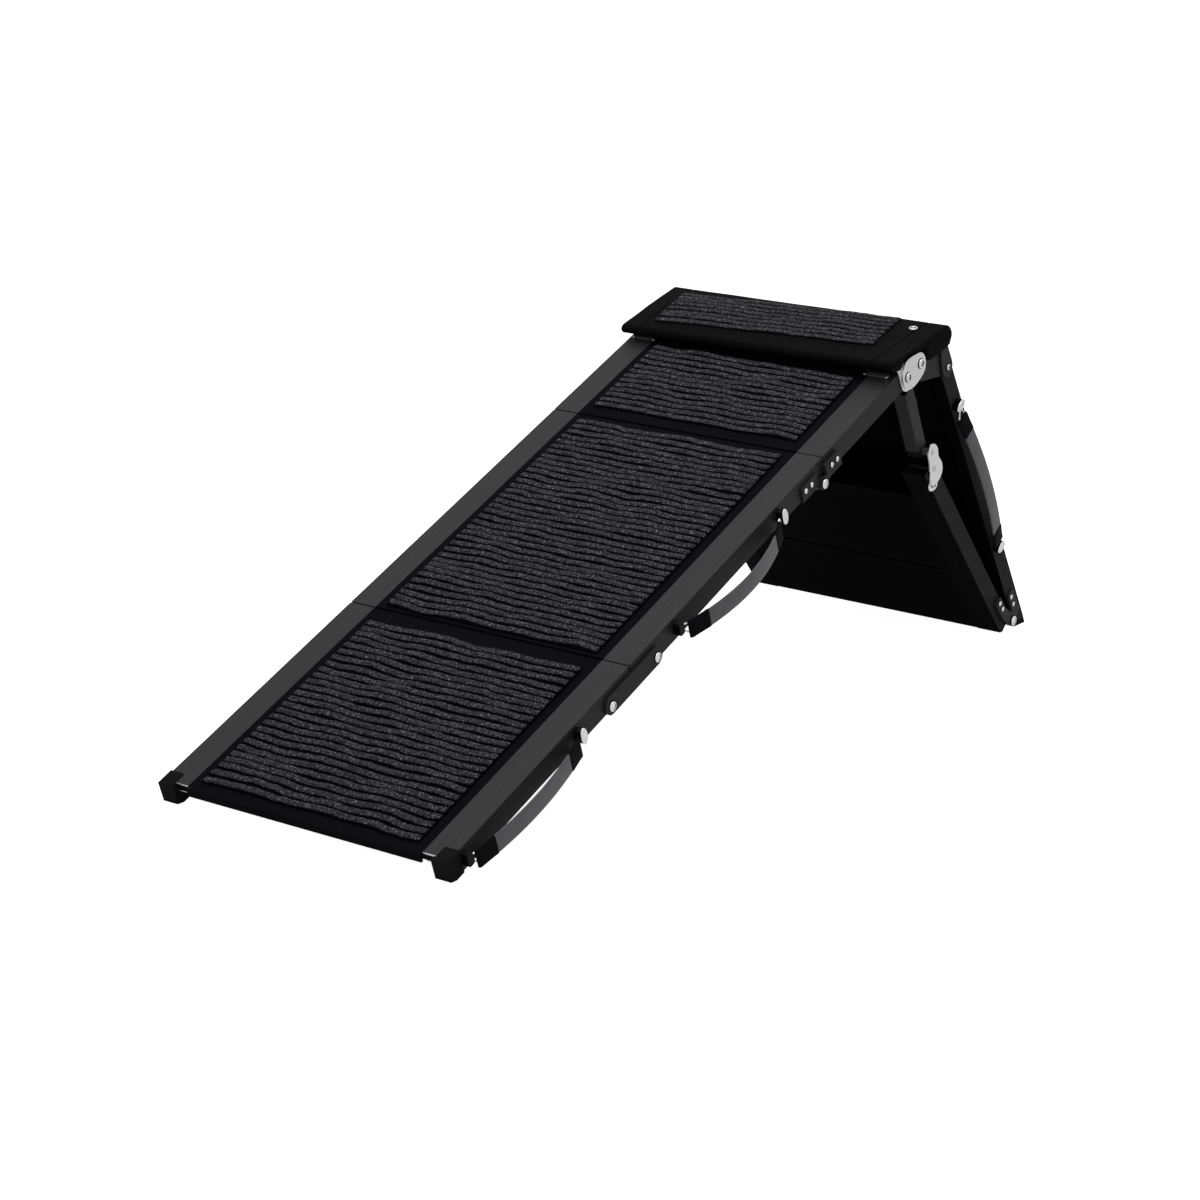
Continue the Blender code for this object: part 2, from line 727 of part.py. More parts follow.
def upper_brace_panel(frame, end):
    """A thin panel between the upper brace's rails, with a long hand slot near its lower edge."""
    inset = UPPER_BRACE_INSET + BOX + GAP
    outline = box((38.0, 3.0), (end + 4, 7.0))
    panel = new_part("upper_brace_panel", frame, "black_panel", side_body(outline, RIGHT, inset, WIDTH - inset))
    slot = rounded_box((80.0, 0.0), (98.0, 10.0), 1.0)
    cut(panel, frame, side_body(slot, RIGHT, WIDTH / 2 - 55, WIDTH / 2 + 55))


def strap_handle(name, frame, rail_frame, rail, blocks, level, strap, drop, bow):
    """A stiff bowed strap with sleeved ends. Links hang it from pins in two blocks on the rail.
    blocks and strap are the places of their ends along the rail, level is the pins' height on
    it, and drop is how far below them the strap hangs.
    """
    face = -RING_OUT
    half = STRAP_WIDE / 2
    middle = level - drop
    start, end = strap
    sleeve = SLEEVE_LONG / (end - start)

    def length(first, last, trim, lap, steps):
        """The strap from one share of its length to another, in its bow."""
        shares = [first + (last - first) * i / steps for i in range(steps + 1)]
        inner = [
            (start + (end - start) * share, face - 2 + lap - bow * math.sin(math.pi * share) ** 0.8)
            for share in shares
        ]
        outer = [(u, inset - STRAP_THICK - 2 * lap) for u, inset in reversed(inner)]
        return extruded(
            [inner + outer],
            lambda u, inset, n: (u, from_edge(RIGHT, inset), n),
            middle - half + trim,
            middle + half - trim,
        )

    item = new_part(name, frame, "grey_webbing", length(0.06, 0.94, 1.0, 0.0, 10))
    join(item, frame, length(0.0, sleeve, 0.0, SLEEVE_WALL, 2))
    join(item, frame, length(1 - sleeve, 1.0, 0.0, SLEEVE_WALL, 2))
    for u, way, tip in ((blocks[0], 1, start), (blocks[1], -1, end)):
        eye, grip = u + way * (BLOCK_HALF + 1.5), tip + way * 5.0
        link = [(eye, level - 3), (grip, middle - 7), (grip, middle + 7), (eye, level + 3)]
        join(item, frame, side_body(link, RIGHT, face - 2.4, face + 1.6))
        pin = sorted([u - way * 2.0, u + way * (BLOCK_HALF + 3.5)])
        join(item, frame, lathe_along(face, level, [(pin[0], 2.0), (pin[1], 2.0)]))
        block = rounded_box((u - BLOCK_HALF, level - 9), (u + BLOCK_HALF, level + 9), 3.0)
        join(rail, rail_frame, side_body(block, RIGHT, face - 4.5, 0.8))
        cut(rail, rail_frame, lathe_along(face, level, [(u - 12.0, 2.06), (u + 12.0, 2.06)]))


def build():
    zero = (0.0, 0.0)
    middle = Frame("middle_deck_frame", HINGE_PIN, SLOPE)
    link = Frame("fold_link_pivot", (FOLD + LINK_SPAN / 2, LINK_HEIGHT), SLOPE, zero, middle)
    lower = Frame("lower_deck_pivot", (FOLD - LINK_SPAN / 2, LINK_HEIGHT), SLOPE, zero, link)
    upper = Frame("upper_deck_pivot", HINGE_PIN, SLOPE, zero, middle)
    peak = Frame("peak_front_pivot", PEAK_FRONT, SLOPE, zero, upper)
    top = Frame("platform_pivot", deck_to_side(*PEAK_REAR), 0.0, zero, peak)
    leg = Frame("leg_pivot", zero, LEG_ANGLE, LEG_PIVOT, top)
    brace = Frame("brace_pivot", zero, BRACE_ANGLE, BRACE_PIVOT, leg)
    lever_axis = Frame("lever_pivot", lever_pin_in_side_view(), 0.0, zero, brace)
    short = Frame("upper_brace_pivot", zero, UPPER_BRACE_ANGLE, UPPER_BRACE_PIVOT, upper)

    middle_rails = middle_deck(middle)
    lower_rails = lower_deck(lower)
    fold_links(link)
    upper_deck(upper)
    peak_link(peak)
    platform(top)
    rear_rails = rear_leg(leg)
    lower_brace(brace)
    lever(lever_axis)
    upper_brace(short)

    handles = (
        ("lower_handle", lower, lower_rails, (LOWER_BLOCK, FOLD - 125), 16.0, (36.0, FOLD - 140), 13.0, STRAP_BOW),
        ("middle_handle", middle, middle_rails, (FOLD + 105, HINGE - 123), 16.0, (FOLD + 122, HINGE - 137), 14.0, STRAP_BOW),
        ("rear_handle", leg, rear_rails, (70.0, 366.0), -5.0, (91.0, 353.0), 4.0, REAR_STRAP_BOW),
    )
    for name, rail_frame, sides, blocks, level, strap, drop, bow in handles:
        pivot = (blocks[0], level)
        if rail_frame is leg:
            frame = Frame(f"{name}_pivot", pivot, LEG_ANGLE, LEG_PIVOT, leg)
        else:
            frame = Frame(f"{name}_pivot", pivot, SLOPE, zero, rail_frame)
        strap_handle(name, frame, rail_frame, sides["right"], blocks, level, strap, drop, bow)


clear_scene()
COLLECTION = new_collection("Folding_dog_ramp")
CUTTERS = new_collection("Cutters")
build()
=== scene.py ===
"""Looks for the folding dog car ramp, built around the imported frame."""

import json
import math
from itertools import product

import bmesh
import bpy
from mathutils import Matrix, Vector, noise
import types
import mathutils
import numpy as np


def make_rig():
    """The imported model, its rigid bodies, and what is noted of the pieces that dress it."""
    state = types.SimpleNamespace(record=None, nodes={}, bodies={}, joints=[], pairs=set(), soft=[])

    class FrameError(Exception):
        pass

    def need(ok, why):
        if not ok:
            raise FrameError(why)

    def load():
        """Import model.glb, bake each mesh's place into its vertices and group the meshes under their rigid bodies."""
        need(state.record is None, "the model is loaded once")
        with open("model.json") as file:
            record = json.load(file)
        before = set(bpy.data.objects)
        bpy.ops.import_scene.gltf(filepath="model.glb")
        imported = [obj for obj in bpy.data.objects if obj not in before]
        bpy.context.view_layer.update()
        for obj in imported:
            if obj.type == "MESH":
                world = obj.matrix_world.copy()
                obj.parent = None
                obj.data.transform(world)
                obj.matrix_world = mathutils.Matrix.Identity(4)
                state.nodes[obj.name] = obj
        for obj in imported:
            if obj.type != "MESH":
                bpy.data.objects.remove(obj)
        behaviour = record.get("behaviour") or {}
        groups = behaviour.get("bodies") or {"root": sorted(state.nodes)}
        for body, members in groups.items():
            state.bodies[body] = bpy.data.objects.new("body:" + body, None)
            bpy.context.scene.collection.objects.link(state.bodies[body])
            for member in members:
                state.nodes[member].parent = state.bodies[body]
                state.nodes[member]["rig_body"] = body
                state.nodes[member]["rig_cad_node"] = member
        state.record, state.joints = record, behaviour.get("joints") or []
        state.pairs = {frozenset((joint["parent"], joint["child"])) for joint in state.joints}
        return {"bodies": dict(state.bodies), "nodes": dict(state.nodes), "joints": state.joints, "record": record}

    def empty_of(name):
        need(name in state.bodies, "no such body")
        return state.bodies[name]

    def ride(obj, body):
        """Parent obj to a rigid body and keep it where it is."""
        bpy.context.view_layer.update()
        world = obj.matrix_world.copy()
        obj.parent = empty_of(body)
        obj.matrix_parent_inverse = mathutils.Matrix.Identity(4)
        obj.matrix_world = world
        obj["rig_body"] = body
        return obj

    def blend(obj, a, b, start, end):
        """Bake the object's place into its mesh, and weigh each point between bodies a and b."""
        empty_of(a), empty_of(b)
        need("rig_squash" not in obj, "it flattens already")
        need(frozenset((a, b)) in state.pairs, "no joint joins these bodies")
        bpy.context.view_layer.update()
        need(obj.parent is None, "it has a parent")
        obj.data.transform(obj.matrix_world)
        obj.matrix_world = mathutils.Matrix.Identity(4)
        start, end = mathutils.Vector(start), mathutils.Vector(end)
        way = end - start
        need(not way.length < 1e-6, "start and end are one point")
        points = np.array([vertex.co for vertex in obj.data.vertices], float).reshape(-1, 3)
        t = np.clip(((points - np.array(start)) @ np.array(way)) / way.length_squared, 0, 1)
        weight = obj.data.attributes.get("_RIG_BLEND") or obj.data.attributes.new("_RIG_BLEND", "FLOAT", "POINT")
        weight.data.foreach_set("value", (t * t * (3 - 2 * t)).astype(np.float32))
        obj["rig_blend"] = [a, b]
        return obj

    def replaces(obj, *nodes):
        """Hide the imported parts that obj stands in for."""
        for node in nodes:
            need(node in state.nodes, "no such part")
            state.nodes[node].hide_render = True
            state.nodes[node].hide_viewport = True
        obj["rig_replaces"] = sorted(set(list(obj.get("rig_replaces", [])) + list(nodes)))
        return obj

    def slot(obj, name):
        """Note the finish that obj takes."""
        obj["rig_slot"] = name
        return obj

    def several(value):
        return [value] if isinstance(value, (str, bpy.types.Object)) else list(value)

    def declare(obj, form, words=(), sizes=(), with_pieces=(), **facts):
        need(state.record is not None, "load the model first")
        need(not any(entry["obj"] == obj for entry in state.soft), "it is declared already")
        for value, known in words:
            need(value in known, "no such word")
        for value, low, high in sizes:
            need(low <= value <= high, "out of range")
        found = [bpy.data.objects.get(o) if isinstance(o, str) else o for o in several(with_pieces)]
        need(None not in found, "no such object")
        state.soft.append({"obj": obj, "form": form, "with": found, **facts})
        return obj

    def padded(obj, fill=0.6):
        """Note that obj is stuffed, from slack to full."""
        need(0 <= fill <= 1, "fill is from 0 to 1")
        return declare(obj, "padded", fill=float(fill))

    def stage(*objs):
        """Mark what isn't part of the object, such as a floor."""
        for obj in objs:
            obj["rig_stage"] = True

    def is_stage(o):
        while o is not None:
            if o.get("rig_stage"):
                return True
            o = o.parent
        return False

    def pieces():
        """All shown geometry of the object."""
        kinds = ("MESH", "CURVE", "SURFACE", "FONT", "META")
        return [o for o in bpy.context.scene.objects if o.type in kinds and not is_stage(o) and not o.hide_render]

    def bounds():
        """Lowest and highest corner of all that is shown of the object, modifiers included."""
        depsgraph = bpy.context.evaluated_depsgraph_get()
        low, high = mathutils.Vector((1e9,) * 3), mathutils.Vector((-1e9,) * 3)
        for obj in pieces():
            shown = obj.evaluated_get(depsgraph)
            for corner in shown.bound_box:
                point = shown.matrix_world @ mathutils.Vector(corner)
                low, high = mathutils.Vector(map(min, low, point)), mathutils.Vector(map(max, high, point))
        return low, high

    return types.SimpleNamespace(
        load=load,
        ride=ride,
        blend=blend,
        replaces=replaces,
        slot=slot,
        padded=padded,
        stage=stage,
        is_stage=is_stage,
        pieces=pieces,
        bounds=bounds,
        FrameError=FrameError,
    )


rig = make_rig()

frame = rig.load()
CAD_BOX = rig.bounds()

# Sizes in millimetres and slopes in degrees, as the part's source has them
ORIGIN_X = 738.58
ORIGIN_Z = 1.735
RIGHT_FACE = -202.75
CENTRE_Y = 12.25
WIDTH = 430.0
SIDES = ("right", "left")
DECK_SLOPE = 22.73
LEG_SLOPE = -54.0
LEG_PIVOT = (1150.6, 446.2)
LEG_TOP_LEVEL = -15.0
BRACE_SLOPE = 135.2
BRACE_PIVOT = (1433.0, 17.0)
UPPER_BRACE_SLOPE = -59.04


class Place:
    """A side view: u along, n out of the top face, w in from the right rail's outer face."""

    def __init__(self, pivot=(0.0, 0.0), degrees=0.0, base=0.0):
        self.x, self.z = pivot
        self.angle = math.radians(degrees)
        self.base = base

    def point(self, u, w, n):
        n += self.base
        cosine, sine = math.cos(self.angle), math.sin(self.angle)
        x = self.x + u * cosine - n * sine
        z = self.z + u * sine + n * cosine
        return Vector((x - ORIGIN_X, w + RIGHT_FACE, z - ORIGIN_Z)) / 1000


SIDE = Place()
DECK = Place(degrees=DECK_SLOPE)
LEG = Place(LEG_PIVOT, LEG_SLOPE)
LEG_TOP = Place(LEG_PIVOT, LEG_SLOPE, LEG_TOP_LEVEL)
BRACE = Place(BRACE_PIVOT, BRACE_SLOPE)


def level_of(w, side):
    """A distance in from the right rail's outer face, or its mirror image on the left."""
    return w if side == "right" else WIDTH - w


def angles_of(count):
    return [math.tau * i / count for i in range(count)]


# Node materials


def shader_of(material):
    return material.node_tree.nodes["Principled BSDF"]


def new_look(name, metallic=0.0, specular=0.5):
    """A material with one Principled shader. Uniform values are set on its own sockets."""
    material = bpy.data.materials.new(name)
    material.use_nodes = True
    shader_of(material).inputs["Metallic"].default_value = metallic
    shader_of(material).inputs["Specular IOR Level"].default_value = specular
    return material


def add(material, kind, values=None, **settings):
    """A new shader node, with its settings and the values of its inputs."""
    node = material.node_tree.nodes.new(kind)
    for key, value in settings.items():
        setattr(node, key, value)
    for key, value in (values or {}).items():
        node.inputs[key].default_value = value
    return node


def join(material, output, socket):
    material.node_tree.links.new(output, socket)


def fill(material, sockets, values):
    """Puts a value, a colour or another node's output into each socket."""
    for socket, value in zip(sockets, values):
        if isinstance(value, bpy.types.NodeSocket):
            join(material, value, socket)
        elif isinstance(value, tuple):
            socket.default_value = (*value, 1)
        else:
            socket.default_value = value


def plain_place(material):
    """Object coordinates as they are."""
    return add(material, "ShaderNodeTexCoord").outputs["Object"]


def stretched(material, degrees, scale):
    """Object coordinates turned to lie along a rail, then scaled along, across and out."""
    turn = add(material, "ShaderNodeMapping")
    turn.inputs["Rotation"].default_value = (0, math.radians(degrees), 0)
    size = add(material, "ShaderNodeMapping")
    size.inputs["Scale"].default_value = scale
    join(material, plain_place(material), turn.inputs["Vector"])
    join(material, turn.outputs[0], size.inputs["Vector"])
    return size.outputs[0]


def noise_of(material, vector, scale, detail=3.0, rough=0.5, distortion=0.0):
    values = {"Scale": scale, "Detail": detail, "Roughness": rough, "Distortion": distortion}
    node = add(material, "ShaderNodeTexNoise", values)
    join(material, vector, node.inputs["Vector"])
    return node.outputs[0]


def ramp(material, factor, stops):
    """A colour ramp from (position, colour) stops."""
    node = add(material, "ShaderNodeValToRGB")
    elements = node.color_ramp.elements
    while len(elements) < len(stops):
        elements.new(0.5)
    for element, (position, colour) in zip(elements, stops):
        element.position = position
        element.color = (*colour, 1)
    join(material, factor, node.inputs[0])
    return node.outputs[0]


def mixed(material, factor, first, second):
    """A mix of two colours, each a colour or an output."""
    node = add(material, "ShaderNodeMix", data_type="RGBA")
    fill(material, (node.inputs[0], node.inputs[6], node.inputs[7]), (factor, first, second))
    return node.outputs[2]


def mixed_number(material, factor, first, second):
    node = add(material, "ShaderNodeMix", data_type="FLOAT")
    fill(material, (node.inputs[0], node.inputs[2], node.inputs[3]), (factor, first, second))
    return node.outputs[0]


def spread(material, factor, low, high, start=0.0, end=1.0):
    """A number mapped from start..end to low..high."""
    node = add(material, "ShaderNodeMapRange")
    fill(material, list(node.inputs)[:5], (factor, start, end, low, high))
    return node.outputs[0]


def maths(material, operation, first, second=0.0):
    node = add(material, "ShaderNodeMath", operation=operation)
    fill(material, node.inputs, (first, second))
    return node.outputs[0]


def bumped(material, height, strength, distance):
    node = add(material, "ShaderNodeBump", {"Strength": strength, "Distance": distance})
    join(material, height, node.inputs["Height"])
    join(material, node.outputs[0], shader_of(material).inputs["Normal"])


def coloured(material, colour, roughness):
    join(material, colour, shader_of(material).inputs["Base Color"])
    join(material, roughness, shader_of(material).inputs["Roughness"])


def scaled(values, share):
    return tuple(share * value for value in values)


def outside(material, reach):
    """1 where the surface stands further out from the ramp's middle plane than reach."""
    split = add(material, "ShaderNodeSeparateXYZ")
    join(material, plain_place(material), split.inputs[0])
    from_middle = maths(material, "SUBTRACT", split.outputs[1], CENTRE_Y / 1000)
    return maths(material, "GREATER_THAN", maths(material, "ABSOLUTE", from_middle), reach / 1000)


def before(material, degrees, start):
    """1 where the surface lies before a place along a rail, which shows its cut end."""
    along = add(material, "ShaderNodeVectorMath", operation="DOT_PRODUCT")
    angle = math.radians(degrees)
    along.inputs[1].default_value = (math.cos(angle), 0, math.sin(angle))
    join(material, plain_place(material), along.inputs[0])
    from_origin = (start - ORIGIN_X * math.cos(angle) - ORIGIN_Z * math.sin(angle)) / 1000
    return maths(material, "LESS_THAN", along.outputs["Value"], from_origin)


# Finishes

# Reaches out from the ramp's middle plane, in millimetres
RAIL_FACE = 214.4
BLOCK_FACE = 215.6
INNER_LEAF_FACE = 218.45
LINK_FACE = 219.15
OUTER_LEAF_FACE = 221.75

BRUSHED_DARK = (0.024, 0.024, 0.025)
BRUSHED_LIGHT = (0.052, 0.052, 0.055)
BRUSHED_EVEN = (0.033, 0.033, 0.034)
# The leaves' own paint; on the rails' outer sides it is painted shade
LEAF_PAINT_AND_SIDE_SHADING = (0.028, 0.028, 0.029)
BLOCK_TONE = (0.0035, 0.0035, 0.004)
# Painted shade for the rail faces that lie in shadow
PAINTED_SHADE_TONE = (0.004, 0.004, 0.0045)
CUT_TONE = (0.62, 0.62, 0.63)
SCREW_TONE = (0.7, 0.7, 0.71)
STEEL_DARK = (0.66, 0.66, 0.67)
STEEL_LIGHT = (0.71, 0.71, 0.72)
YARN_STOPS = [(0.4, (0.013, 0.013, 0.014)), (0.52, (0.042, 0.042, 0.046)), (0.66, (0.40, 0.40, 0.43))]
YARN_SHADOW = (0.016, 0.016, 0.017)
YARN_EVEN = (0.04, 0.04, 0.044)
# Painted shade in the carpet's grooves
GROOVE_PAINTED_SHADE = (0.0015, 0.0015, 0.0018)


def anodised(name, degrees, screws_beyond=None, cut_before=None, inner=None, side_shading_share=0.6):
    """Black anodised aluminium, brushed along the rail. Screw heads and cut ends are bright.
    The outer side faces take mostly a flat tone, scaled by the outer share, that paints how light falls on them:
    painted shade on the deck rails' sides.
    inner, if given, is painted shade on all but the outer faces, which then lose their metal and most of their
    reflection."""
    # Faces under painted shade get no metal and almost no reflection
    metallic, specular = (0.0, 0.006) if inner else (0.3, 0.05)
    material = new_look(name, metallic, specular)
    streaks = noise_of(material, stretched(material, degrees, (9, 1500, 1500)), 1.0, 4.0, 0.6)
    broad = noise_of(material, stretched(material, degrees, (4, 60, 60)), 1.0, 2.0)
    tone = ramp(material, streaks, [(0.25, BRUSHED_DARK), (0.75, BRUSHED_LIGHT)])
    tone = mixed(material, spread(material, broad, 0.0, 0.5), tone, BRUSHED_EVEN)
    # The outer side faces get a tone painted for how light falls on them: darker than the top, as shade, on the deck
    # rails
    outer = mixed(material, 0.7, tone, scaled(LEAF_PAINT_AND_SIDE_SHADING, side_shading_share))
    # inner, if given, paints shade on every face but the outer sides
    tone = mixed(material, outside(material, RAIL_FACE), inner or tone, outer)
    bright = None
    if screws_beyond:
        bright = outside(material, screws_beyond)
    else:
        tone = mixed(material, outside(material, BLOCK_FACE), tone, BLOCK_TONE)
    if cut_before:
        bright = before(material, degrees, cut_before)
    if bright:
        tone = mixed(material, bright, tone, CUT_TONE)
        join(material, spread(material, bright, 0.3, 1.0), shader_of(material).inputs["Metallic"])
    coloured(material, tone, spread(material, streaks, 0.4, 0.55))
    bumped(material, streaks, 0.12, 0.0002)
    return material


def painted(name, colour, screws_beyond=None):
    """Black powder coat with a fine orange-peel skin. Screw heads further out are bright."""
    material = new_look(name, specular=0.05)
    grain = noise_of(material, plain_place(material), 900, 2.0)
    cloud = noise_of(material, plain_place(material), 30, 2.0)
    tone = mixed(material, cloud, scaled(colour, 0.8), scaled(colour, 1.25))
    roughness = spread(material, cloud, 0.38, 0.5)
    if screws_beyond:
        bright = outside(material, screws_beyond)
        tone = mixed(material, bright, tone, SCREW_TONE)
        join(material, bright, shader_of(material).inputs["Metallic"])
        roughness = mixed_number(material, bright, roughness, 0.24)
    coloured(material, tone, roughness)
    bumped(material, grain, 0.15, 0.0002)
    return material


def steel(name, roughness=0.26):
    """Bright plated steel with faint rolling marks."""
    material = new_look(name, metallic=1.0)
    marks = noise_of(material, stretched(material, DECK_SLOPE, (40, 900, 260)), 1.0, 3.0)
    cloud = noise_of(material, plain_place(material), 55, 3.0)
    tone = mixed(material, cloud, STEEL_DARK, STEEL_LIGHT)
    coloured(material, tone, spread(material, marks, roughness - 0.03, roughness + 0.05))
    return material


def moulded(name, colour, roughness=0.55):
    """Moulded plastic with a fine spark texture."""
    material = new_look(name, specular=0.006)
    grain = noise_of(material, plain_place(material), 1600, 2.0, 0.7)
    cloud = noise_of(material, plain_place(material), 18, 3.0)
    tone = mixed(material, cloud, scaled(colour, 0.75), scaled(colour, 1.3))
    coloured(material, tone, spread(material, cloud, roughness - 0.06, roughness + 0.08))
    bumped(material, grain, 0.25, 0.0002)
    return material


def pile():
    """Looped carpet: charcoal ribs with light flecks. The grooves are near-black and the dips between loops darker:
    painted shade.
    """
    material = new_look("ribbed_carpet", specular=0.02)
    height = add(material, "ShaderNodeAttribute", attribute_name="pile").outputs["Fac"]
    fine = noise_of(material, plain_place(material), 460, 4.0, 0.75)
    loops = noise_of(material, plain_place(material), 210, 3.0, 0.6, 0.4)
    broad = noise_of(material, plain_place(material), 22, 2.0)
    yarn = ramp(material, fine, YARN_STOPS)
    # The dips between loops are darkened as painted shade
    yarn = mixed(material, spread(material, loops, 0.75, 0.0, 0.38, 0.6), yarn, YARN_SHADOW)
    yarn = mixed(material, spread(material, broad, 0.0, 0.35), yarn, YARN_EVEN)
    # Low pile, in the grooves and at the ribs' tips, is painted near-black as shade
    tone = mixed(material, spread(material, height, 0.0, 1.0, 0.4, 0.8), GROOVE_PAINTED_SHADE, yarn)
    coloured(material, tone, spread(material, fine, 0.85, 1.0))
    bumped(material, maths(material, "ADD", fine, loops), 0.8, 0.0012)
    return material


def woven(name, colour, pitch, roughness, depth=0.25, specular=0.006):
    """Plain-woven cloth: two crossed sets of threads and a slow change in tone."""
    material = new_look(name, specular=specular)
    scale = 1000 / pitch
    split = add(material, "ShaderNodeSeparateXYZ")
    join(material, stretched(material, DECK_SLOPE, (scale, scale, scale)), split.inputs[0])
    first, second = (
        maths(material, "SINE", maths(material, "MULTIPLY", output, math.tau))
        for output in (split.outputs[0], split.outputs[1])
    )
    weave = maths(material, "MULTIPLY", first, second)
    cloud = noise_of(material, plain_place(material), 45, 3.0)
    tone = mixed(material, cloud, scaled(colour, 0.7), scaled(colour, 1.45))
    tone = mixed(material, spread(material, weave, 0.0, 0.3, -1.0, 1.0), tone, scaled(colour, 0.6))
    coloured(material, tone, spread(material, cloud, roughness - 0.08, roughness + 0.1))
    bumped(material, weave, depth, 0.00025)
    return material


LOOKS = {
    "deck_rail": anodised("deck_rail_aluminium", DECK_SLOPE),
    "cut_rail": anodised("cut_rail_aluminium", DECK_SLOPE, cut_before=6.3),
    # Leg and brace rails: every face but the outer sides is painted shade, and the outer sides take a lighter painted
    # tone
    "leg_rail": anodised("leg_rail_aluminium", LEG_SLOPE, inner=PAINTED_SHADE_TONE, side_shading_share=1.1),
    "brace_rail": anodised("brace_rail_aluminium", BRACE_SLOPE, inner=PAINTED_SHADE_TONE, side_shading_share=1.1),
    "upper_brace_rail": anodised("upper_brace_aluminium", UPPER_BRACE_SLOPE),
    "flat_rail": anodised("platform_aluminium", 0.0, BLOCK_FACE),
    "inner_leaf": painted("inner_leaf_steel", LEAF_PAINT_AND_SIDE_SHADING, INNER_LEAF_FACE),
    "link_plate": painted("fold_link_steel", LEAF_PAINT_AND_SIDE_SHADING, LINK_FACE),
    "outer_leaf": painted("outer_leaf_steel", LEAF_PAINT_AND_SIDE_SHADING, OUTER_LEAF_FACE),
    "tab": painted("tab_steel", (0.014, 0.014, 0.015)),
    "bracket": painted("bracket_steel", (0.03, 0.03, 0.031)),
    "steel": steel("bright_steel"),
    "wire": steel("bright_wire", 0.18),
    "dull": painted("dull_steel", (0.07, 0.07, 0.072)),
    # Near-black painted shade, for the rivet heads' rims and the cover's eyelet holes
    "painted_shade": moulded("gap_shadow", (0.004, 0.004, 0.004), 0.7),
    "cap": moulded("foot_plastic", (0.011, 0.011, 0.012)),
    "board": moulded("board_sheet", (0.006, 0.006, 0.0065), 0.6),
    "panel": moulded("panel_sheet", (0.0012, 0.0012, 0.0013), 0.42),
    "rubber": moulded("mat_rubber", (0.0055, 0.0055, 0.0065), 0.68),
    "carpet": pile(),
    "cover": woven("cover_cloth", (0.005, 0.005, 0.0053), 0.8, 0.55),
    "band": woven("handle_webbing", (0.10, 0.10, 0.106), 1.3, 0.4, 0.1, 0.25),
    "sleeve": moulded("handle_sleeve", (0.007, 0.007, 0.008), 0.38),
}


# Pieces


def linked(name, data):
    """A new object in the scene."""
    item = bpy.data.objects.new(name, data)
    bpy.context.scene.collection.objects.link(item)
    return item


def piece(name, mesh, body, slot, look, replaced=()):
    """A new object with a look, which rides on a body and stands for CAD nodes."""
    item = linked(name, mesh)
    mesh.materials.append(LOOKS[look])
    mesh.shade_smooth()
    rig.slot(item, slot)
    if body:
        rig.ride(item, body)
    if replaced:
        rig.replaces(item, *replaced)
    return item


def mesh_from(name, points, faces):
    """A mesh whose faces look outwards."""
    mesh = bpy.data.meshes.new(name)
    mesh.from_pydata([tuple(p) for p in points], [], faces)
    shape = bmesh.new()
    shape.from_mesh(mesh)
    bmesh.ops.recalc_face_normals(shape, faces=shape.faces)
    shape.to_mesh(mesh)
    shape.free()
    mesh.update()
    return mesh


def bevelled(item, width, limit=40.0):
    """Rounds the hard edges and shades the flats flat."""
    weld = item.modifiers.new("weld", "WELD")
    weld.merge_threshold = 0.00001
    bevel = item.modifiers.new("round_edges", "BEVEL")
    bevel.width = width / 1000
    bevel.segments = 2
    bevel.limit_method = "ANGLE"
    bevel.angle_limit = math.radians(limit)
    bevel.use_clamp_overlap = True
    normals = item.modifiers.new("flat_faces", "WEIGHTED_NORMAL")
    normals.weight = 100
    normals.keep_sharp = False
    return item


def ring_faces(rings, size, closed=False):
    """Faces through rings of size points each. An open body has a cap at each end."""
    faces = []
    for i in range(rings if closed else rings - 1):
        j = (i + 1) % rings
        for k in range(size):
            m = (k + 1) % size
            faces.append((i * size + k, i * size + m, j * size + m, j * size + k))
    if not closed:
        faces.append(tuple(range(size)))
        faces.append(tuple((rings - 1) * size + k for k in range(size)))
    return faces


def ring_mesh(name, rings, closed=False):
    points = [p for ring in rings for p in ring]
    return mesh_from(name, points, ring_faces(len(rings), len(rings[0]), closed))


def ring_body(name, rings, body, slot, look, replaced=(), closed=False):
    return piece(name, ring_mesh(name, rings, closed), body, slot, look, replaced)


def section_ring(centre, across, out, section):
    """A section's points, in millimetres, laid round a place on a path."""
    return [centre + across * (x / 1000) + out * (y / 1000) for x, y in section]


def rounded_section(wide, thick, radius):
    """A rounded rectangle, as (x, y) corners in order."""
    count = 3
    section = []
    for cx, cy, start in (
        (wide / 2 - radius, thick / 2 - radius, 0),
        (radius - wide / 2, thick / 2 - radius, 90),
        (radius - wide / 2, radius - thick / 2, 180),
        (wide / 2 - radius, radius - thick / 2, 270),
    ):
        for i in range(count + 1):
            angle = math.radians(start + 90 * i / count)
            section.append((cx + radius * math.cos(angle), cy + radius * math.sin(angle)))
    return section


def cut_corners(loop, rounds):
    """Corner cutting on a closed line."""
    for _ in range(rounds):
        pairs = zip(loop, loop[1:] + loop[:1])
        loop = [point for a, b in pairs for point in (a * 0.75 + b * 0.25, a * 0.25 + b * 0.75)]
    return loop


def wire(name, points, radius, body, closed=True):
    """A round wire bent through points."""
    count = len(points)
    section = [(radius * math.cos(a), radius * math.sin(a)) for a in angles_of(10)]
    rings = []
    out = (points[1] - points[0]).cross(points[2] - points[1]).normalized()
    for i, point in enumerate(points):
        after = points[(i + 1) % count] if closed else points[min(i + 1, count - 1)]
        previous = points[i - 1] if closed else points[max(i - 1, 0)]
        along = (after - previous).normalized()
        side = along.cross(out).normalized()
        rings.append(section_ring(point, side, side.cross(along).normalized(), section))
    return ring_body(name, rings, body, "bright_steel", "wire", closed=closed)


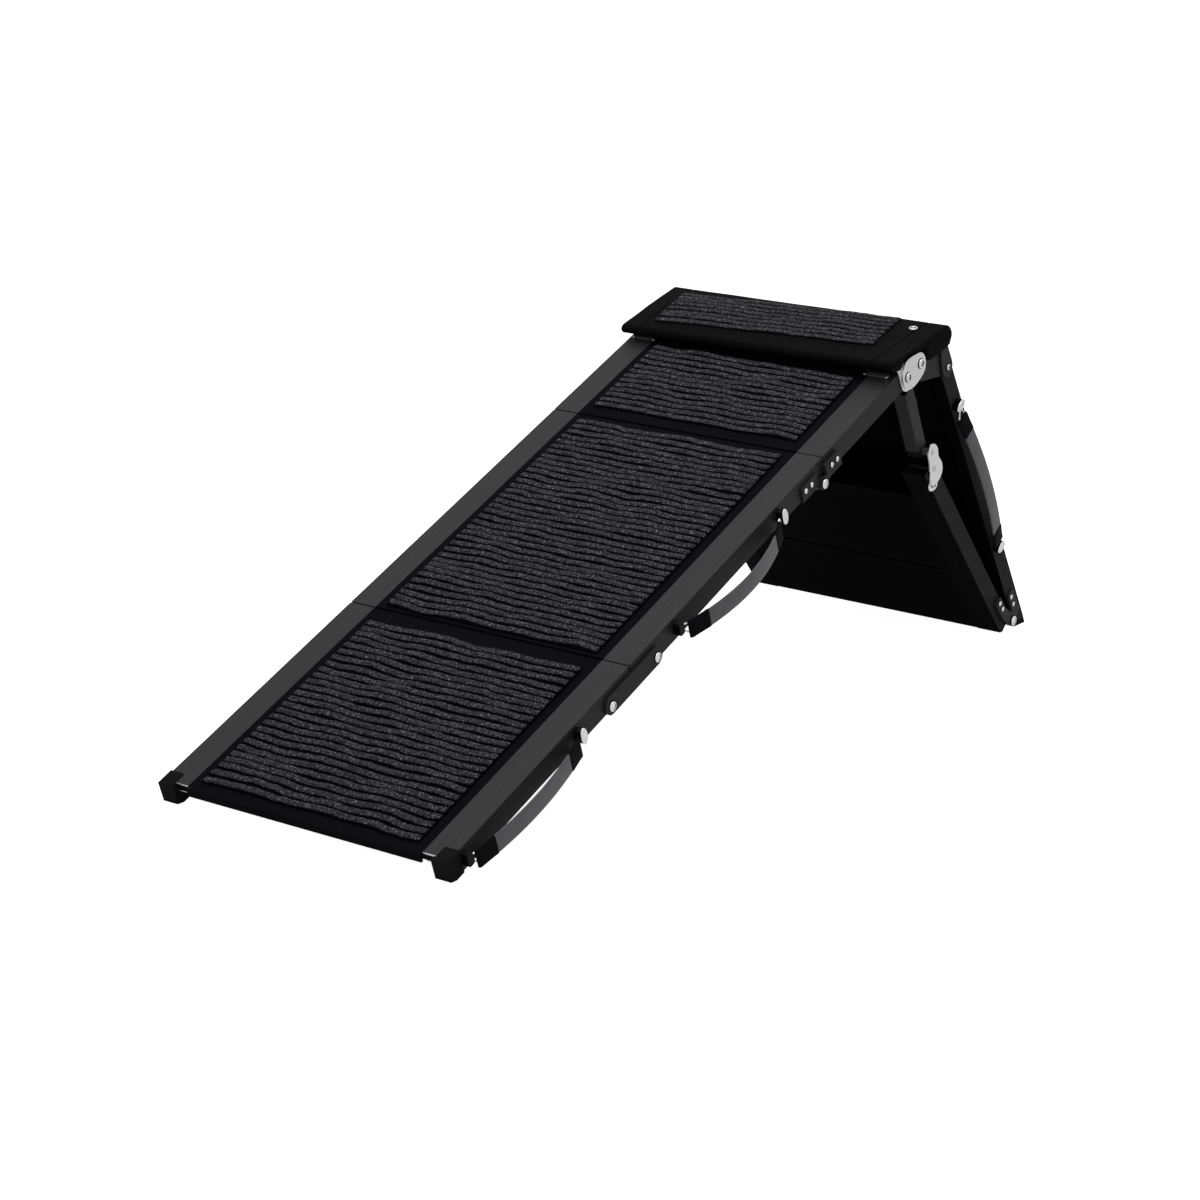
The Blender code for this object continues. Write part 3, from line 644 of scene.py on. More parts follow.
def bend(item, first, second, start, end):
    """A finished piece that bends between two bodies, over a span along the ramp."""
    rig.blend(item, first, second, start=SIDE.point(start, 215, 480), end=SIDE.point(end, 215, 480))


# CAD nodes that are shown as they are


def keep(look, width, *nodes):
    """CAD nodes whose shape is right: their edges are rounded and their look is set."""
    for name in nodes:
        item = frame["nodes"][name]
        item.data.materials.clear()
        item.data.materials.append(LOOKS[look])
        bevelled(item, width)


def both(*stems):
    return [f"{stem}_{side}" for stem in stems for side in SIDES]


def kept_nodes():
    """The rigid CAD nodes, with rounded edges and their finishes."""
    keep("cut_rail", 0.7, *both("lower_rail"))
    keep("deck_rail", 0.7, *both("middle_rail", "upper_rail"))
    keep("leg_rail", 0.7, *both("rear_rail"))
    keep("brace_rail", 0.7, *both("brace_rail"))
    keep("upper_brace_rail", 0.6, *both("upper_brace_rail"))
    keep("flat_rail", 0.5, *both("platform_bar"))
    keep("inner_leaf", 0.25, *both("middle_hinge_leaf", "leg_foot_leaf"))
    keep("link_plate", 0.25, *both("fold_link"))
    keep("outer_leaf", 0.25, *both("upper_hinge_leaf", "brace_foot_leaf"))
    keep("tab", 0.3, *both("upper_brace_tab"))
    keep("steel", 0.25, *both("deck_hinge_pin"))
    keep("cap", 0.8, *both("foot_cap", "rear_foot", "brace_foot_cap", "upper_brace_cap"))
    keep("board", 0.5, "lower_deck_board", "middle_deck_board", "upper_deck_board", "rear_leg_board")
    keep("panel", 0.8, "brace_panel", "upper_brace_panel")
    borders = ["lower_mat_border", "middle_mat_border", "upper_mat_border", "rear_mat_border"]
    keep("rubber", 0.6, *borders)


# Carpets

RIB_PITCH = 13.0
RIB_RISE = 3.4
RIB_TIP = 4.0
CARPET_SIDE = 52.0
CARPET_LOW = 30.3
BACKING_RISE = 1.2
BACKING_THICK = 0.8

# One rib from side to side: millimetres along the ramp, and its share of the full height
RIB_PROFILE = [
    (-1.5, 0.0), (-1.0, 0.03), (-0.5, 0.42), (0.5, 0.78), (2.2, 0.95),
    (4.5, 1.0), (6.8, 0.95), (8.5, 0.78), (9.5, 0.42), (10.0, 0.03),
]


def rib_wave(w, rib, u, first):
    """How far a rib wanders along the ramp: slowly, in short waves and from loop to loop."""
    slow = 5.0 * noise.noise(Vector((w / 58, rib * 0.3, first * 0.01)))
    short = 1.6 * noise.noise(Vector((w / 19, rib * 0.8, 5.0)))
    loops = 0.5 * noise.noise(Vector((w / 4, rib * 2.3 + u / 5, 2.0)))
    return slow + short + loops


def rib_fluff(w, rib, u):
    """How far a rib's top stands above or below its mean height."""
    loops = 0.6 * noise.noise(Vector((w / 5, rib * 3.1 + u / 3, 9.0)))
    slow = 0.5 * noise.noise(Vector((w / 23, rib * 0.7, 4.0)))
    return loops + slow


def carpet_columns(low_w, high_w):
    """Places across a carpet, close together at the tips of its ribs."""
    tips = [0.01, 0.5, 1.6, 3.4]
    inset = 6
    steps = 62
    inner = [low_w + inset + (high_w - low_w - 2 * inset) * i / steps for i in range(steps + 1)]
    return [low_w + tip for tip in tips] + inner + [high_w - tip for tip in reversed(tips)]


def carpet_rows(ribs, pitch):
    """For each row of a carpet: its rib, how far past the rib's start, and its share of the height."""
    rows = [(rib, u * pitch / RIB_PITCH, share) for rib in range(ribs) for u, share in RIB_PROFILE]
    rows.append((ribs, RIB_PROFILE[0][0] * pitch / RIB_PITCH, 0.0))
    return rows


def grid_rim(tall, wide):
    """The outer points of a grid, in order round it."""
    rim = list(range(wide))
    rim += [i * wide + wide - 1 for i in range(1, tall)]
    rim += [(tall - 1) * wide + j for j in range(wide - 2, -1, -1)]
    rim += [i * wide for i in range(tall - 2, 0, -1)]
    return rim


def slab_faces(tall, wide):
    """Faces of a grid, of the walls down from its rim and of its flat underside."""
    corners = [i * wide + j for i in range(tall - 1) for j in range(wide - 1)]
    faces = [(a, a + 1, a + wide + 1, a + wide) for a in corners]
    rim = grid_rim(tall, wide)
    under = tall * wide
    for k in range(len(rim)):
        m = (k + 1) % len(rim)
        faces.append((rim[k], rim[m], under + m, under + k))
    faces.append(tuple(range(under, under + len(rim))))
    return faces


def carpet(
    name, place, first, ribs, body, replaced,
    low=CARPET_LOW, pitch=RIB_PITCH, side=CARPET_SIDE, blended=None,
):
    """Ribbed pile across the ramp: wavy rounded ribs that end in rounded tips."""
    low_w, high_w = side, WIDTH - side
    columns = carpet_columns(low_w, high_w)
    rows = carpet_rows(ribs, pitch)
    points = []
    heights = []
    for rib, u, share in rows:
        straight = rib in (0, ribs) and u <= -1
        for w in columns:
            near = min(w - low_w, high_w - w)
            tip = math.sqrt(1 - (1 - min(near / RIB_TIP, 1.0)) ** 2)
            along = first + rib * pitch + u + (0 if straight else rib_wave(w, rib, u, first))
            rise = BACKING_RISE + (RIB_RISE + rib_fluff(w, rib, u)) * share * tip
            points.append(place.point(along, w, low + rise))
            heights.append(share * tip)
    thickness = place.point(0, 0, BACKING_THICK) - place.point(0, 0, 0)
    rim = grid_rim(len(rows), len(columns))
    points += [points[index] - thickness for index in rim]
    heights += [0.0] * len(rim)
    mesh = mesh_from(name, points, slab_faces(len(rows), len(columns)))
    # The pile height carries the painted shade of the grooves and the ribs' tips
    pile_height = mesh.attributes.new("pile", "FLOAT", "POINT")
    pile_height.data.foreach_set("value", heights)
    item = piece(name, mesh, None if blended else body, "carpet", "carpet", replaced)
    if blended:
        bend(item, *blended)
    return item


def carpets():
    carpet("lower_ribbed_carpet", DECK, 20, 27, "lower_deck", ["lower_carpet"])
    carpet("middle_ribbed_carpet", DECK, 405, 36, "middle_deck", ["middle_carpet"])
    carpet("upper_ribbed_carpet", DECK, 910, 13, "upper_deck", ["upper_carpet"])
    carpet("rear_ribbed_carpet", LEG_TOP, 40, 37, "rear_leg", ["rear_carpet"])


# The platform's cover: a front roll on the deck's end, and a pad on the platform

OVERHANG = 5.5
EDGE_ROUND = 1.5
FRONT_X = 984.0
CREST = (1136.0, 508.4)
TOP_FALL = 36.4
TAPER = 0.12
TILT_NEAR = 3.2
TILT_ACROSS = 5.2
TILT_LENGTH = 70.0
CROWN_RISE = 4.2
CROWN_REACH = 70.0
SEAM_IN = OVERHANG + 25.0
SEAM_DEPTH = 1.3
SEAM_HALF = 1.5
CREASE_AT = Vector((977.5, 469.5))
CREASE_REACH = 4.5
CREASE_DEPTH = 1.9

# Where the cover's two parts meet, and how each bends: two bodies and the span between them
BREAK_X = 1040.0
BREAK_OVERLAP = 0.02
FRONT_BEND = ("upper_deck", "peak_links", 990, 1022)
REAR_BEND = ("peak_links", "platform", 1054, 1092)

# The lower edge outside the rails: cut out round the peak plate, then a flap
HEM_BELOW = 484.0
HEM = [
    (1001, 457.4), (1005, 460.5), (1018.5, 476.8), (1030, 479.5), (1063, 482.2), (1072, 482.2),
    (1078, 478.0), (1085, 465.0), (1089, 464.2), (1116.5, 469.5), (1140, 476.8), (1149, 480.6),
]


def resampled(outline, step):
    """Points at even steps round a closed outline of (x, z)."""
    closed = [Vector(p) for p in outline] + [Vector(outline[0])]
    lengths = [(b - a).length for a, b in zip(closed, closed[1:])]
    total = sum(lengths)
    count = round(total / step)
    found = []
    for i in range(count):
        far = total * i / count
        for (a, b), length in zip(zip(closed, closed[1:]), lengths):
            if far <= length:
                found.append(a.lerp(b, far / length))
                break
            far -= length
    return found


def softened(points, rounds):
    """Each point drawn towards its neighbours, to round the corners."""
    for _ in range(rounds):
        count = len(points)
        points = [
            points[i] * 0.5 + (points[i - 1] + points[(i + 1) % count]) * 0.25
            for i in range(count)
        ]
    return points


def outline_normals(points):
    """The outward direction at each point of an outline."""
    area = sum(a.x * b.y - b.x * a.y for a, b in zip(points, points[1:] + points[:1]))
    way = 1 if area > 0 else -1
    count = len(points)
    normals = []
    for i in range(count):
        along = points[(i + 1) % count] - points[i - 1]
        normals.append(Vector((along.y, -along.x)).normalized() * way)
    return normals


def cover_columns(low_w, high_w):
    """Places across the cover: close together at its rims and its seams."""
    rim = [0.0, 0.3, 0.8, 1.8, 3.4, 4.9, 5.2, 7.0] + [9.0 + 3.0 * i for i in range(7)]
    seam = [SEAM_IN + d for d in (-2.2, -1.0, -0.4, 0.0, 0.4, 1.0, 2.2)]
    start = seam[-1] + 2.2
    count = round((high_w - low_w - 2 * start) / 2.6)
    inner = [low_w + start + (high_w - low_w - 2 * start) * i / count for i in range(count + 1)]
    near = rim + seam
    return [low_w + v for v in near] + inner + [high_w - v for v in reversed(near)]


def side_hem(x):
    """Height of the cover's lower edge outside the rails, or None past its ends."""
    for (x0, z0), (x1, z1) in zip(HEM, HEM[1:]):
        if x0 <= x <= x1:
            return z0 + (z1 - z0) * (x - x0) / (x1 - x0)
    return None


def hemmed(point, normal):
    """A point of the cover's lower side, moved to the hem of its side faces."""
    height = side_hem(point.x) if normal.y < -0.3 and point.y < HEM_BELOW else None
    return point if height is None else Vector((point.x, height))


def on_cover(x, w, z):
    """A place on the cover, which is narrower at its far side and lies tilted at its front."""
    front = 1 - min(max((x - FRONT_X) / TILT_LENGTH, 0.0), 1.0)
    tilted = z + (TILT_NEAR - TILT_ACROSS * w / WIDTH) * front
    return SIDE.point(FRONT_X + (x - FRONT_X) * (1 - TAPER * w / WIDTH), w, tilted)


def top_line(x):
    """Height of the cover's sides in side view, straight from its front up to its crest."""
    return CREST[1] - TOP_FALL * max(0.0, (CREST[0] - x) / (CREST[0] - FRONT_X))


def seam_groove(near):
    return -SEAM_DEPTH * max(0.0, 1 - abs(near - SEAM_IN) / SEAM_HALF)


def crown(near, x):
    """How far the top stands above its sides: most between the front fold and the crest."""
    along = min(max((x - FRONT_X) / (CREST[0] - FRONT_X), 0.0), 1.0)
    rise = CROWN_RISE * math.sin(math.pi * along) ** 0.7 * (1 - 0.5 * along)
    return rise * (1 - (1 - min(max(near, 0.0) / CROWN_REACH, 1.0)) ** 2)


def creases(point, w):
    """Short slanting creases, as in cloth pulled over foam."""
    across = Vector((w / 8 + point.x / 5, point.y / 3.5, point.x / 13))
    return CREASE_DEPTH * (abs(noise.noise(across)) * 2 - 0.35)


def cover_relief(point, normal, w, near):
    """Creases along the front roll, and a crowned top with a seam down each side."""
    band = math.exp(-(((point - CREASE_AT).length / CREASE_REACH) ** 2))
    out = 0.6 * noise.noise(Vector((w / 70, point.x / 40, point.y / 30)))
    out += creases(point, w) * band
    if normal.y > 0.6:
        out += crown(near, point.x) + seam_groove(near)
    return out if normal.y > -0.5 else min(out, 0.0)


def cover_outline():
    """The cover from the side: a front roll over the deck's end, and the pad up to its crest."""
    front = [(1036.0, 475.5), (1003.0, 459.0), (992.0, 457.6), (984.0, 457.8), (978.0, 459.6)]
    front += [(974.8, 463.6), (976.0, 468.6), (980.6, 471.2)]
    tops = (987.0, 1000.0, 1015.0, 1030.0, 1050.0, 1075.0, 1100.0, 1122.0, 1136.0)
    rear = [(1143.0, 505.8), (1149.5, 500.5), (1152.6, 493.5), (1150.6, 486.5), (1145.5, 481.0)]
    rear += [(1139.0, 478.4), (1090.0, 478.2), (1044.0, 478.2)]
    return front + [(x, top_line(x)) for x in tops] + rear


def whole_cover():
    """The stuffed cover, drawn across the ramp from its side outline."""
    low_w, high_w = -OVERHANG, WIDTH + OVERHANG
    outline = softened(resampled(cover_outline(), 1.9), 2)
    normals = outline_normals(outline)
    rings = []
    for w in cover_columns(low_w, high_w):
        near = min(w - low_w, high_w - w)
        inset = EDGE_ROUND - math.sqrt(EDGE_ROUND ** 2 - max(0.0, EDGE_ROUND - near) ** 2)
        outside_rails = near < OVERHANG - 0.5
        ring = []
        for point, normal in zip(outline, normals):
            out = cover_relief(point, normal, w, near) - inset
            spot = hemmed(point, normal) if outside_rails else point
            spot = spot + normal * out
            ring.append(on_cover(spot.x, w, spot.y))
        rings.append(ring)
    return ring_mesh("whole_cover", rings)


def part_of(whole, name, side):
    """The part of a closed mesh before (-1) or after (1) the break, closed with a hidden face."""
    shape = bmesh.new()
    shape.from_mesh(whole)
    made = bmesh.ops.bisect_plane(
        shape,
        geom=shape.verts[:] + shape.edges[:] + shape.faces[:],
        plane_co=Vector(((BREAK_X + BREAK_OVERLAP * side - ORIGIN_X) / 1000, 0, 0)),
        plane_no=(1, 0, 0),
        clear_outer=side < 0,
        clear_inner=side > 0,
    )
    rim = [item for item in made["geom_cut"] if isinstance(item, bmesh.types.BMEdge)]
    bmesh.ops.triangle_fill(shape, edges=rim, normal=(1, 0, 0))
    for edge in rim:
        edge.smooth = False
    bmesh.ops.recalc_face_normals(shape, faces=shape.faces)
    mesh = bpy.data.meshes.new(name)
    shape.to_mesh(mesh)
    shape.free()
    return mesh


def platform_cover():
    """One stuffed cover. Its two parts meet over the peak hinge and bend there together."""
    whole = whole_cover()
    for name, side, how, replaced in (
        ("peak_roll_cover", -1, FRONT_BEND, ["peak_lip_pad"]),
        ("platform_pad_cover", 1, REAR_BEND, ["platform_pad"]),
    ):
        item = piece(name, part_of(whole, name, side), None, "black_fabric", "cover", replaced)
        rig.padded(item, fill=0.75)
        bend(item, *how)
    bpy.data.meshes.remove(whole)
    cover_carpets()
    cover_ring()
    cover_eyelets()


class CoverTop:
    """Places on the cover's top for its carpet, which lies a little askew and narrows with it."""

    side = 45.0
    start = 1023.0
    askew = 24.0
    narrowing = 0.1
    shift = 5.0
    widening = 3.0
    lean = 0.13

    def point(self, u, w, n):
        across = (w - self.side) / (WIDTH - 2 * self.side)
        x = self.start - self.askew * across + u * (1 - self.narrowing * across)
        w = w + self.shift + self.widening * across + self.lean * u
        x = FRONT_X + (x - FRONT_X) / (1 - TAPER * w / WIDTH)
        near = min(w + OVERHANG, WIDTH + OVERHANG - w)
        return on_cover(x, w, top_line(x) + crown(near, x) + n)


def cover_carpets():
    """Eight ribs on the cover: two on its front part and six on the platform."""
    pitch = 13.75
    low = -0.7
    for name, start, ribs, how, replaced in (
        ("peak_ribbed_carpet", 0, 2, FRONT_BEND, ()),
        ("platform_ribbed_carpet", 2 * pitch, 6, REAR_BEND, ["platform_carpet"]),
    ):
        carpet(name, CoverTop(), start, ribs, None, replaced, low, pitch, CoverTop.side, how)


def cover_ring():
    """A bright ring with a bar across it, on the cover's near corner."""
    x, w = 1103.5, 31.0
    radius = 5.2

    def at(u, v, rise=1.0):
        near = w + v + OVERHANG
        return on_cover(x + u, w + v, top_line(x + u) + crown(near, x + u) + rise)

    loop = [at(radius * math.cos(a), radius * math.sin(a)) for a in angles_of(28)]
    wire("cover_ring", loop, 1.1, "platform")
    bar = [at(-4.6 + 2.3 * i, i - 2.0, 1.5 if i == 2 else 1.1) for i in range(5)]
    wire("cover_ring_bar", bar, 0.9, "platform", closed=False)


def cover_eyelets():
    """An oval eyelet in each side of the cover, at its rear: a near-black disc that paints the shade in its hole."""
    x, z = 1135.0, 491.0
    profile = [(1.0, -0.6), (1.0, 0.12), (0.9, 0.2)]
    for name, face, way in (("right", -OVERHANG, -1), ("left", WIDTH + OVERHANG, 1)):
        rings = []
        for share, out in profile:
            half_x, half_z = scaled((3.6, 4.7), share)
            rings.append([
                on_cover(x + half_x * math.cos(a), face + way * out, z + half_z * math.sin(a))
                for a in angles_of(24)
            ])
        # The hole is drawn as painted shade
        ring_body(f"cover_eyelet_{name}", rings, "platform", "black_fabric", "painted_shade")


# Webbing handles

BAND_SIZE = (25.4, 2.6)
BAND_STEPS = 40
STRAP_FACE = -9.5
SLEEVE_LENGTH = 30.0
SLEEVE_ROUND = 2.2

# Share along the sleeve, width and thickness
SLEEVE = [
    (-0.06, 24.6, 2.0), (0.0, 26.6, 4.6), (0.05, 26.8, 5.4), (0.2, 26.2, 5.0), (0.4, 26.0, 4.4),
    (0.6, 26.2, 4.3), (0.8, 26.6, 4.4), (0.93, 26.8, 4.6), (0.985, 26.4, 4.2), (1.0, 25.2, 3.2),
]

# A ring runs from its narrow end by the block to its wide end under the sleeve
RING_WIRE = 1.25
NARROW_HALF = 2.5
NARROW_FACE = -7.4
WIDE_HALF = 9.5
WIDE_FACE = -8.7
WIDE_REACH = 3.5
START_BY_PLATE = 8.2
START_BY_BLOCK = 2.0

# An end plate from its rim to its dished middle: share of its half sizes, and height
PLATE_HALF = (6.6, 11.6)
PLATE_FACE = -10.55
PLATE_PROFILE = [(1.0, 0.0), (0.985, 0.7), (0.93, 1.25), (0.84, 1.45), (0.5, 1.4), (0.42, 1.1), (0.3, 0.45)]


def strap_path(place, ends, middle, bow, shares):
    """Frames along a bowed strap: the centre, the width's direction and the outward direction."""
    start, end = ends

    def spot(share):
        bowed = bow * math.sin(math.pi * min(max(share, 0.0), 1.0)) ** 0.8
        return place.point(start + (end - start) * share, STRAP_FACE - bowed, middle)

    width = (place.point(0, 0, 1) - place.point(0, 0, 0)).normalized()
    frames = []
    for share in shares:
        along = (spot(share + 0.004) - spot(share - 0.004)).normalized()
        frames.append((spot(share), width, along.cross(width).normalized()))
    return frames


def strap_body(name, frames, sizes, radius, body, look, replaced=()):
    """A strap's piece, from its frames and a (width, thickness) at each."""
    rings = []
    for (centre, across, out), (wide, thick) in zip(frames, sizes):
        section = rounded_section(wide, thick, min(radius, thick / 2 - 0.01))
        rings.append(section_ring(centre, across, out, section))
    return ring_body(name, rings, body, "grey_webbing", look, replaced)


def end_plate(name, place, u, n, body):
    """A bright oval cover plate with a dished middle, on the outside of a handle's block."""
    rings = []
    for share, height in PLATE_PROFILE:
        half_u, half_n = scaled(PLATE_HALF, share)
        rings.append([
            place.point(u + half_u * math.cos(a), PLATE_FACE - height, n + half_n * math.sin(a))
            for a in angles_of(28)
        ])
    return bevelled(ring_body(name, rings, body, "bright_steel", "steel"), 0.15, 50)


def handle(name, body, place, rail_body, blocks, level, ends, drop, bow):
    """A webbing handle: a bowed band, and at each end a sleeve, a wire ring and mostly a plate."""
    middle = level - drop
    sleeve = SLEEVE_LENGTH / (ends[1] - ends[0])
    hidden = 0.7 * sleeve
    shares = [hidden + (1 - 2 * hidden) * i / BAND_STEPS for i in range(BAND_STEPS + 1)]
    frames = strap_path(place, ends, middle, bow, shares)
    strap_body(f"{name}_band", frames, [BAND_SIZE] * len(frames), 1.0, body, "band", [name])
    for end_name, base, way, block, tip in (
        ("low", 0.0, 1, blocks[0], ends[0]),
        ("high", 1.0, -1, blocks[1], ends[1]),
    ):
        shares = [base + way * sleeve * share for share, _, _ in SLEEVE]
        frames = strap_path(place, ends, middle, bow, shares)
        sizes = [(wide, thick) for _, wide, thick in SLEEVE]
        strap_body(f"{name}_{end_name}_sleeve", frames, sizes, SLEEVE_ROUND, body, "sleeve")
        plated = end_name == "high" or rail_body == "rear_leg"
        start = block + way * (START_BY_PLATE if plated else START_BY_BLOCK)
        end = tip + way * WIDE_REACH
        corners = [
            place.point(start, NARROW_FACE, level + NARROW_HALF),
            place.point(end, WIDE_FACE, middle + WIDE_HALF),
            place.point(end, WIDE_FACE, middle - WIDE_HALF),
            place.point(start, NARROW_FACE, level - NARROW_HALF),
        ]
        wire(f"{name}_{end_name}_ring", cut_corners(corners, 3), RING_WIRE, body)
        if plated:
            end_plate(f"{name}_{end_name}_plate", place, block, level, rail_body)


def handles():
    handle(
        "lower_handle", "lower_strap", DECK, "lower_deck",
        blocks=(28.8, 271), level=16.0, ends=(41, 260), drop=9.0, bow=11.5,
    )
    handle(
        "middle_handle", "middle_strap", DECK, "middle_deck",
        blocks=(501, 763), level=16.0, ends=(518, 749), drop=12.0, bow=22.8,
    )
    handle(
        "rear_handle", "rear_strap", LEG, "rear_leg",
        blocks=(70, 366), level=-5.0, ends=(91, 353), drop=4.0, bow=10.0,
    )


# Plates, levers and clips

PEAK_OUTER = [
    (1062, 480.0), (1073, 472), (1076.5, 461), (1074, 450), (1056, 437), (1038, 430), (1026, 431),
    (1015.6, 438), (1009.8, 449), (1009.9, 462), (1018.5, 472.7), (1031.5, 476.5), (1048, 479.0),
]
PEAK_INNER = [
    (1060, 476), (1070, 462), (1066, 446), (1050, 434), (1033, 427), (1021, 429), (1012, 440),
    (1004, 454), (997.5, 461), (1008, 465), (1022, 472),
]
PEAK_PINS = [(1025.1, 449.0), (1060.2, 463.7)]
PEAK_PIN_RADIUS = 4.0
LEVER = [
    (1114, 339.3), (1122, 340.6), (1131, 338.0), (1138, 331.5), (1140.3, 324), (1142, 318.5),
    (1150, 313), (1156.5, 305), (1158, 296), (1154, 287.5), (1146, 281), (1136, 277), (1127, 278),
    (1122.5, 286), (1120.5, 298), (1117.5, 311), (1112, 321), (1109.8, 330),
]
LEVER_TAIL = [
    (1128, 287), (1124, 280), (1124.5, 273), (1130, 268.8), (1139, 268.5), (1147, 271.0), (1150.5, 275.5),
    (1149, 281), (1142, 285),
]
LEVER_SPACER = (1115.0, 329.0)
SPACER_RADIUS = 5.5
LEVER_PIN = (1125.05, 302.1)
LEVER_PIN_RADIUS = 3.0
BRACKET_RADIUS = 15
PIVOT_BRACKET = [(1162.7, 455.0), (1143.8, 481.0), (1128.0, 480.5), (1128.0, 462.0)]
PIVOT_BRACKET += [
    (LEG_PIVOT[0] + BRACKET_RADIUS * math.cos(a), LEG_PIVOT[1] + BRACKET_RADIUS * math.sin(a))
    for a in map(math.radians, range(216, 388, 12))
]

# Spans in from the right side's outer face
PEAK_OUTER_SPAN = (-6.2, -3.4)
PEAK_INNER_SPAN = (-3.1, -0.3)
PEAK_PIN_SPAN = (-3.3, 30.2)
LEVER_SPAN = (-4.2, -1.9)
LEVER_TAIL_SPAN = (-1.7, -0.4)
SPACER_SPAN = (-1.8, 7.7)
LEVER_PIN_SPAN = (-1.8, 32.5)
BRACKET_SPAN = (-3.2, -0.5)


def plate(name, outline, span, side, body, replaced=(), look="steel", rounds=2):
    """A flat plate beside a rail: its outline with rounded corners, over a span across."""
    line = cut_corners([Vector(p) for p in outline], rounds)
    rings = [[SIDE.point(p.x, level_of(w, side), p.y) for p in line] for w in span]
    return bevelled(ring_body(name, rings, body, "bright_steel", look, replaced), 0.3, 50)


def rod(name, centre, radius, span, side, body, look="steel"):
    """A round pin across the ramp with chamfered ends."""
    x, z = centre
    start, end = span
    rings = []
    for share, w in ((0.86, start), (1.0, start + 0.5), (1.0, end - 0.5), (0.86, end)):
        reach = radius * share
        rings.append([
            SIDE.point(x + reach * math.cos(a), level_of(w, side), z + reach * math.sin(a))
            for a in angles_of(20)
        ])
    return bevelled(ring_body(name, rings, body, "bright_steel", look), 0.1, 50)


def clip(name, along, across, out, side, look):
    """A small block on an upper rail, from its spans along, in from the side and out of the top."""
    near, far = (level_of(w, side) for w in across)
    corners = [(near, out[0]), (far, out[0]), (far, out[1]), (near, out[1])]
    rings = [[DECK.point(u, w, n) for w, n in corners] for u in along]
    return bevelled(ring_body(name, rings, "upper_deck", "bright_steel", look), 0.6, 50)


def end_clips():
    """A low grey clip between two bright tabs on each upper rail, under the cover's front roll."""
    for side in SIDES:
        clip(f"end_clip_{side}", (1088, 1097), (11, 40.5), (30.4, 33.8), side, "dull")
        clip(f"end_clip_outer_{side}", (1085.5, 1095), (7.8, 10.6), (30.4, 34.6), side, "steel")
        clip(f"end_clip_inner_{side}", (1086, 1100), (41, 44.4), (30.6, 34.8), side, "steel")


def plates():
    """The peak hinges' plates and pins, the lock levers and the leg's pivot brackets."""
    for side in SIDES:
        node = [f"peak_hinge_plate_{side}"]
        plate(f"peak_outer_plate_{side}", PEAK_OUTER, PEAK_OUTER_SPAN, side, "peak_links", node)
        plate(f"peak_inner_plate_{side}", PEAK_INNER, PEAK_INNER_SPAN, side, "peak_links", rounds=1)
        for pin in PEAK_PINS:
            name = f"peak_pin_{side}_{pin[0]:.0f}"
            rod(name, pin, PEAK_PIN_RADIUS, PEAK_PIN_SPAN, side, "peak_links")
        node = [f"brace_lever_{side}"]
        plate(f"lever_plate_{side}", LEVER, LEVER_SPAN, side, "levers", node)
        plate(f"lever_tail_{side}", LEVER_TAIL, LEVER_TAIL_SPAN, side, "levers")
        rod(f"lever_spacer_{side}", LEVER_SPACER, SPACER_RADIUS, SPACER_SPAN, side, "levers", "dull")
        # The lever pin is bright steel; the dark tab paint on it is painted shade
        rod(f"lever_pin_{side}", LEVER_PIN, LEVER_PIN_RADIUS, LEVER_PIN_SPAN, side, "levers", "tab")
        plate(
            f"pivot_bracket_{side}", PIVOT_BRACKET, BRACKET_SPAN, side, "platform",
            look="bracket", rounds=0,
        )


# Rivets and screws

# A head from its washer up to its dished middle: share of the radius, share of the height, and 1 where the face is
# painted shade
RIVET = [
    (1.10, 0.0, 1), (1.10, 0.35, 1), (0.99, 0.36, 0), (0.99, 0.62, 0), (0.92, 0.86, 0),
    (0.80, 0.98, 0), (0.62, 1.0, 1), (0.50, 0.66, 0), (0.30, 0.62, 0),
]
SHARP_RINGS = {1, 2, 6, 7}
HEAD_POINTS = 22
RIVET_RISE = 2.9
SCREW_RADIUS = 3.8
SCREW_RISE = 2.0

# Name, body, radius, rise, and each place: the view, along, out of the top and in from the side
HEADS = [
    ("fold_link_rivets", "fold_links", 6.7, RIVET_RISE, [(DECK, 343, 7, -3.6), (DECK, 449, 7, -3.6)]),
    ("deck_hinge_rivets", "upper_deck", 6.9, RIVET_RISE, [(DECK, 872, -2, -6.8)]),
    ("peak_rivets", "peak_links", 6.9, RIVET_RISE, [(DECK, 1119, 18, -5.9), (DECK, 1157, 18, -5.9)]),
    ("leg_pivot_rivets", "platform", 4.4, RIVET_RISE, [(LEG, 0, 0, -3.1)]),
    ("lever_rivets", "levers", 3.6, 1.1, [(SIDE, 1122.2, 327.5, -4.1), (SIDE, 1131.0, 302.8, -4.1)]),
    ("lever_tail_rivets", "levers", 3.4, 3.2, [(SIDE, 1136.0, 277.5, -1.6)]),
    ("foot_hinge_rivets", "rear_leg", 7.7, RIVET_RISE, [(BRACE, 0, 0, -6.9)]),
]

# Name, body, view, two places along, out of the top and in from the side
SCREW_PAIRS = [
    ("middle_leaf_screws", "middle_deck", DECK, (830, 846), 12, -3.3),
    ("upper_leaf_screws", "upper_deck", DECK, (896, 911), 13, -6.6),
    ("leg_leaf_screws", "rear_leg", LEG, (478, 494), -7, -3.3),
    ("brace_leaf_screws", "lower_brace", BRACE, (48, 63), 10, -6.6),
]


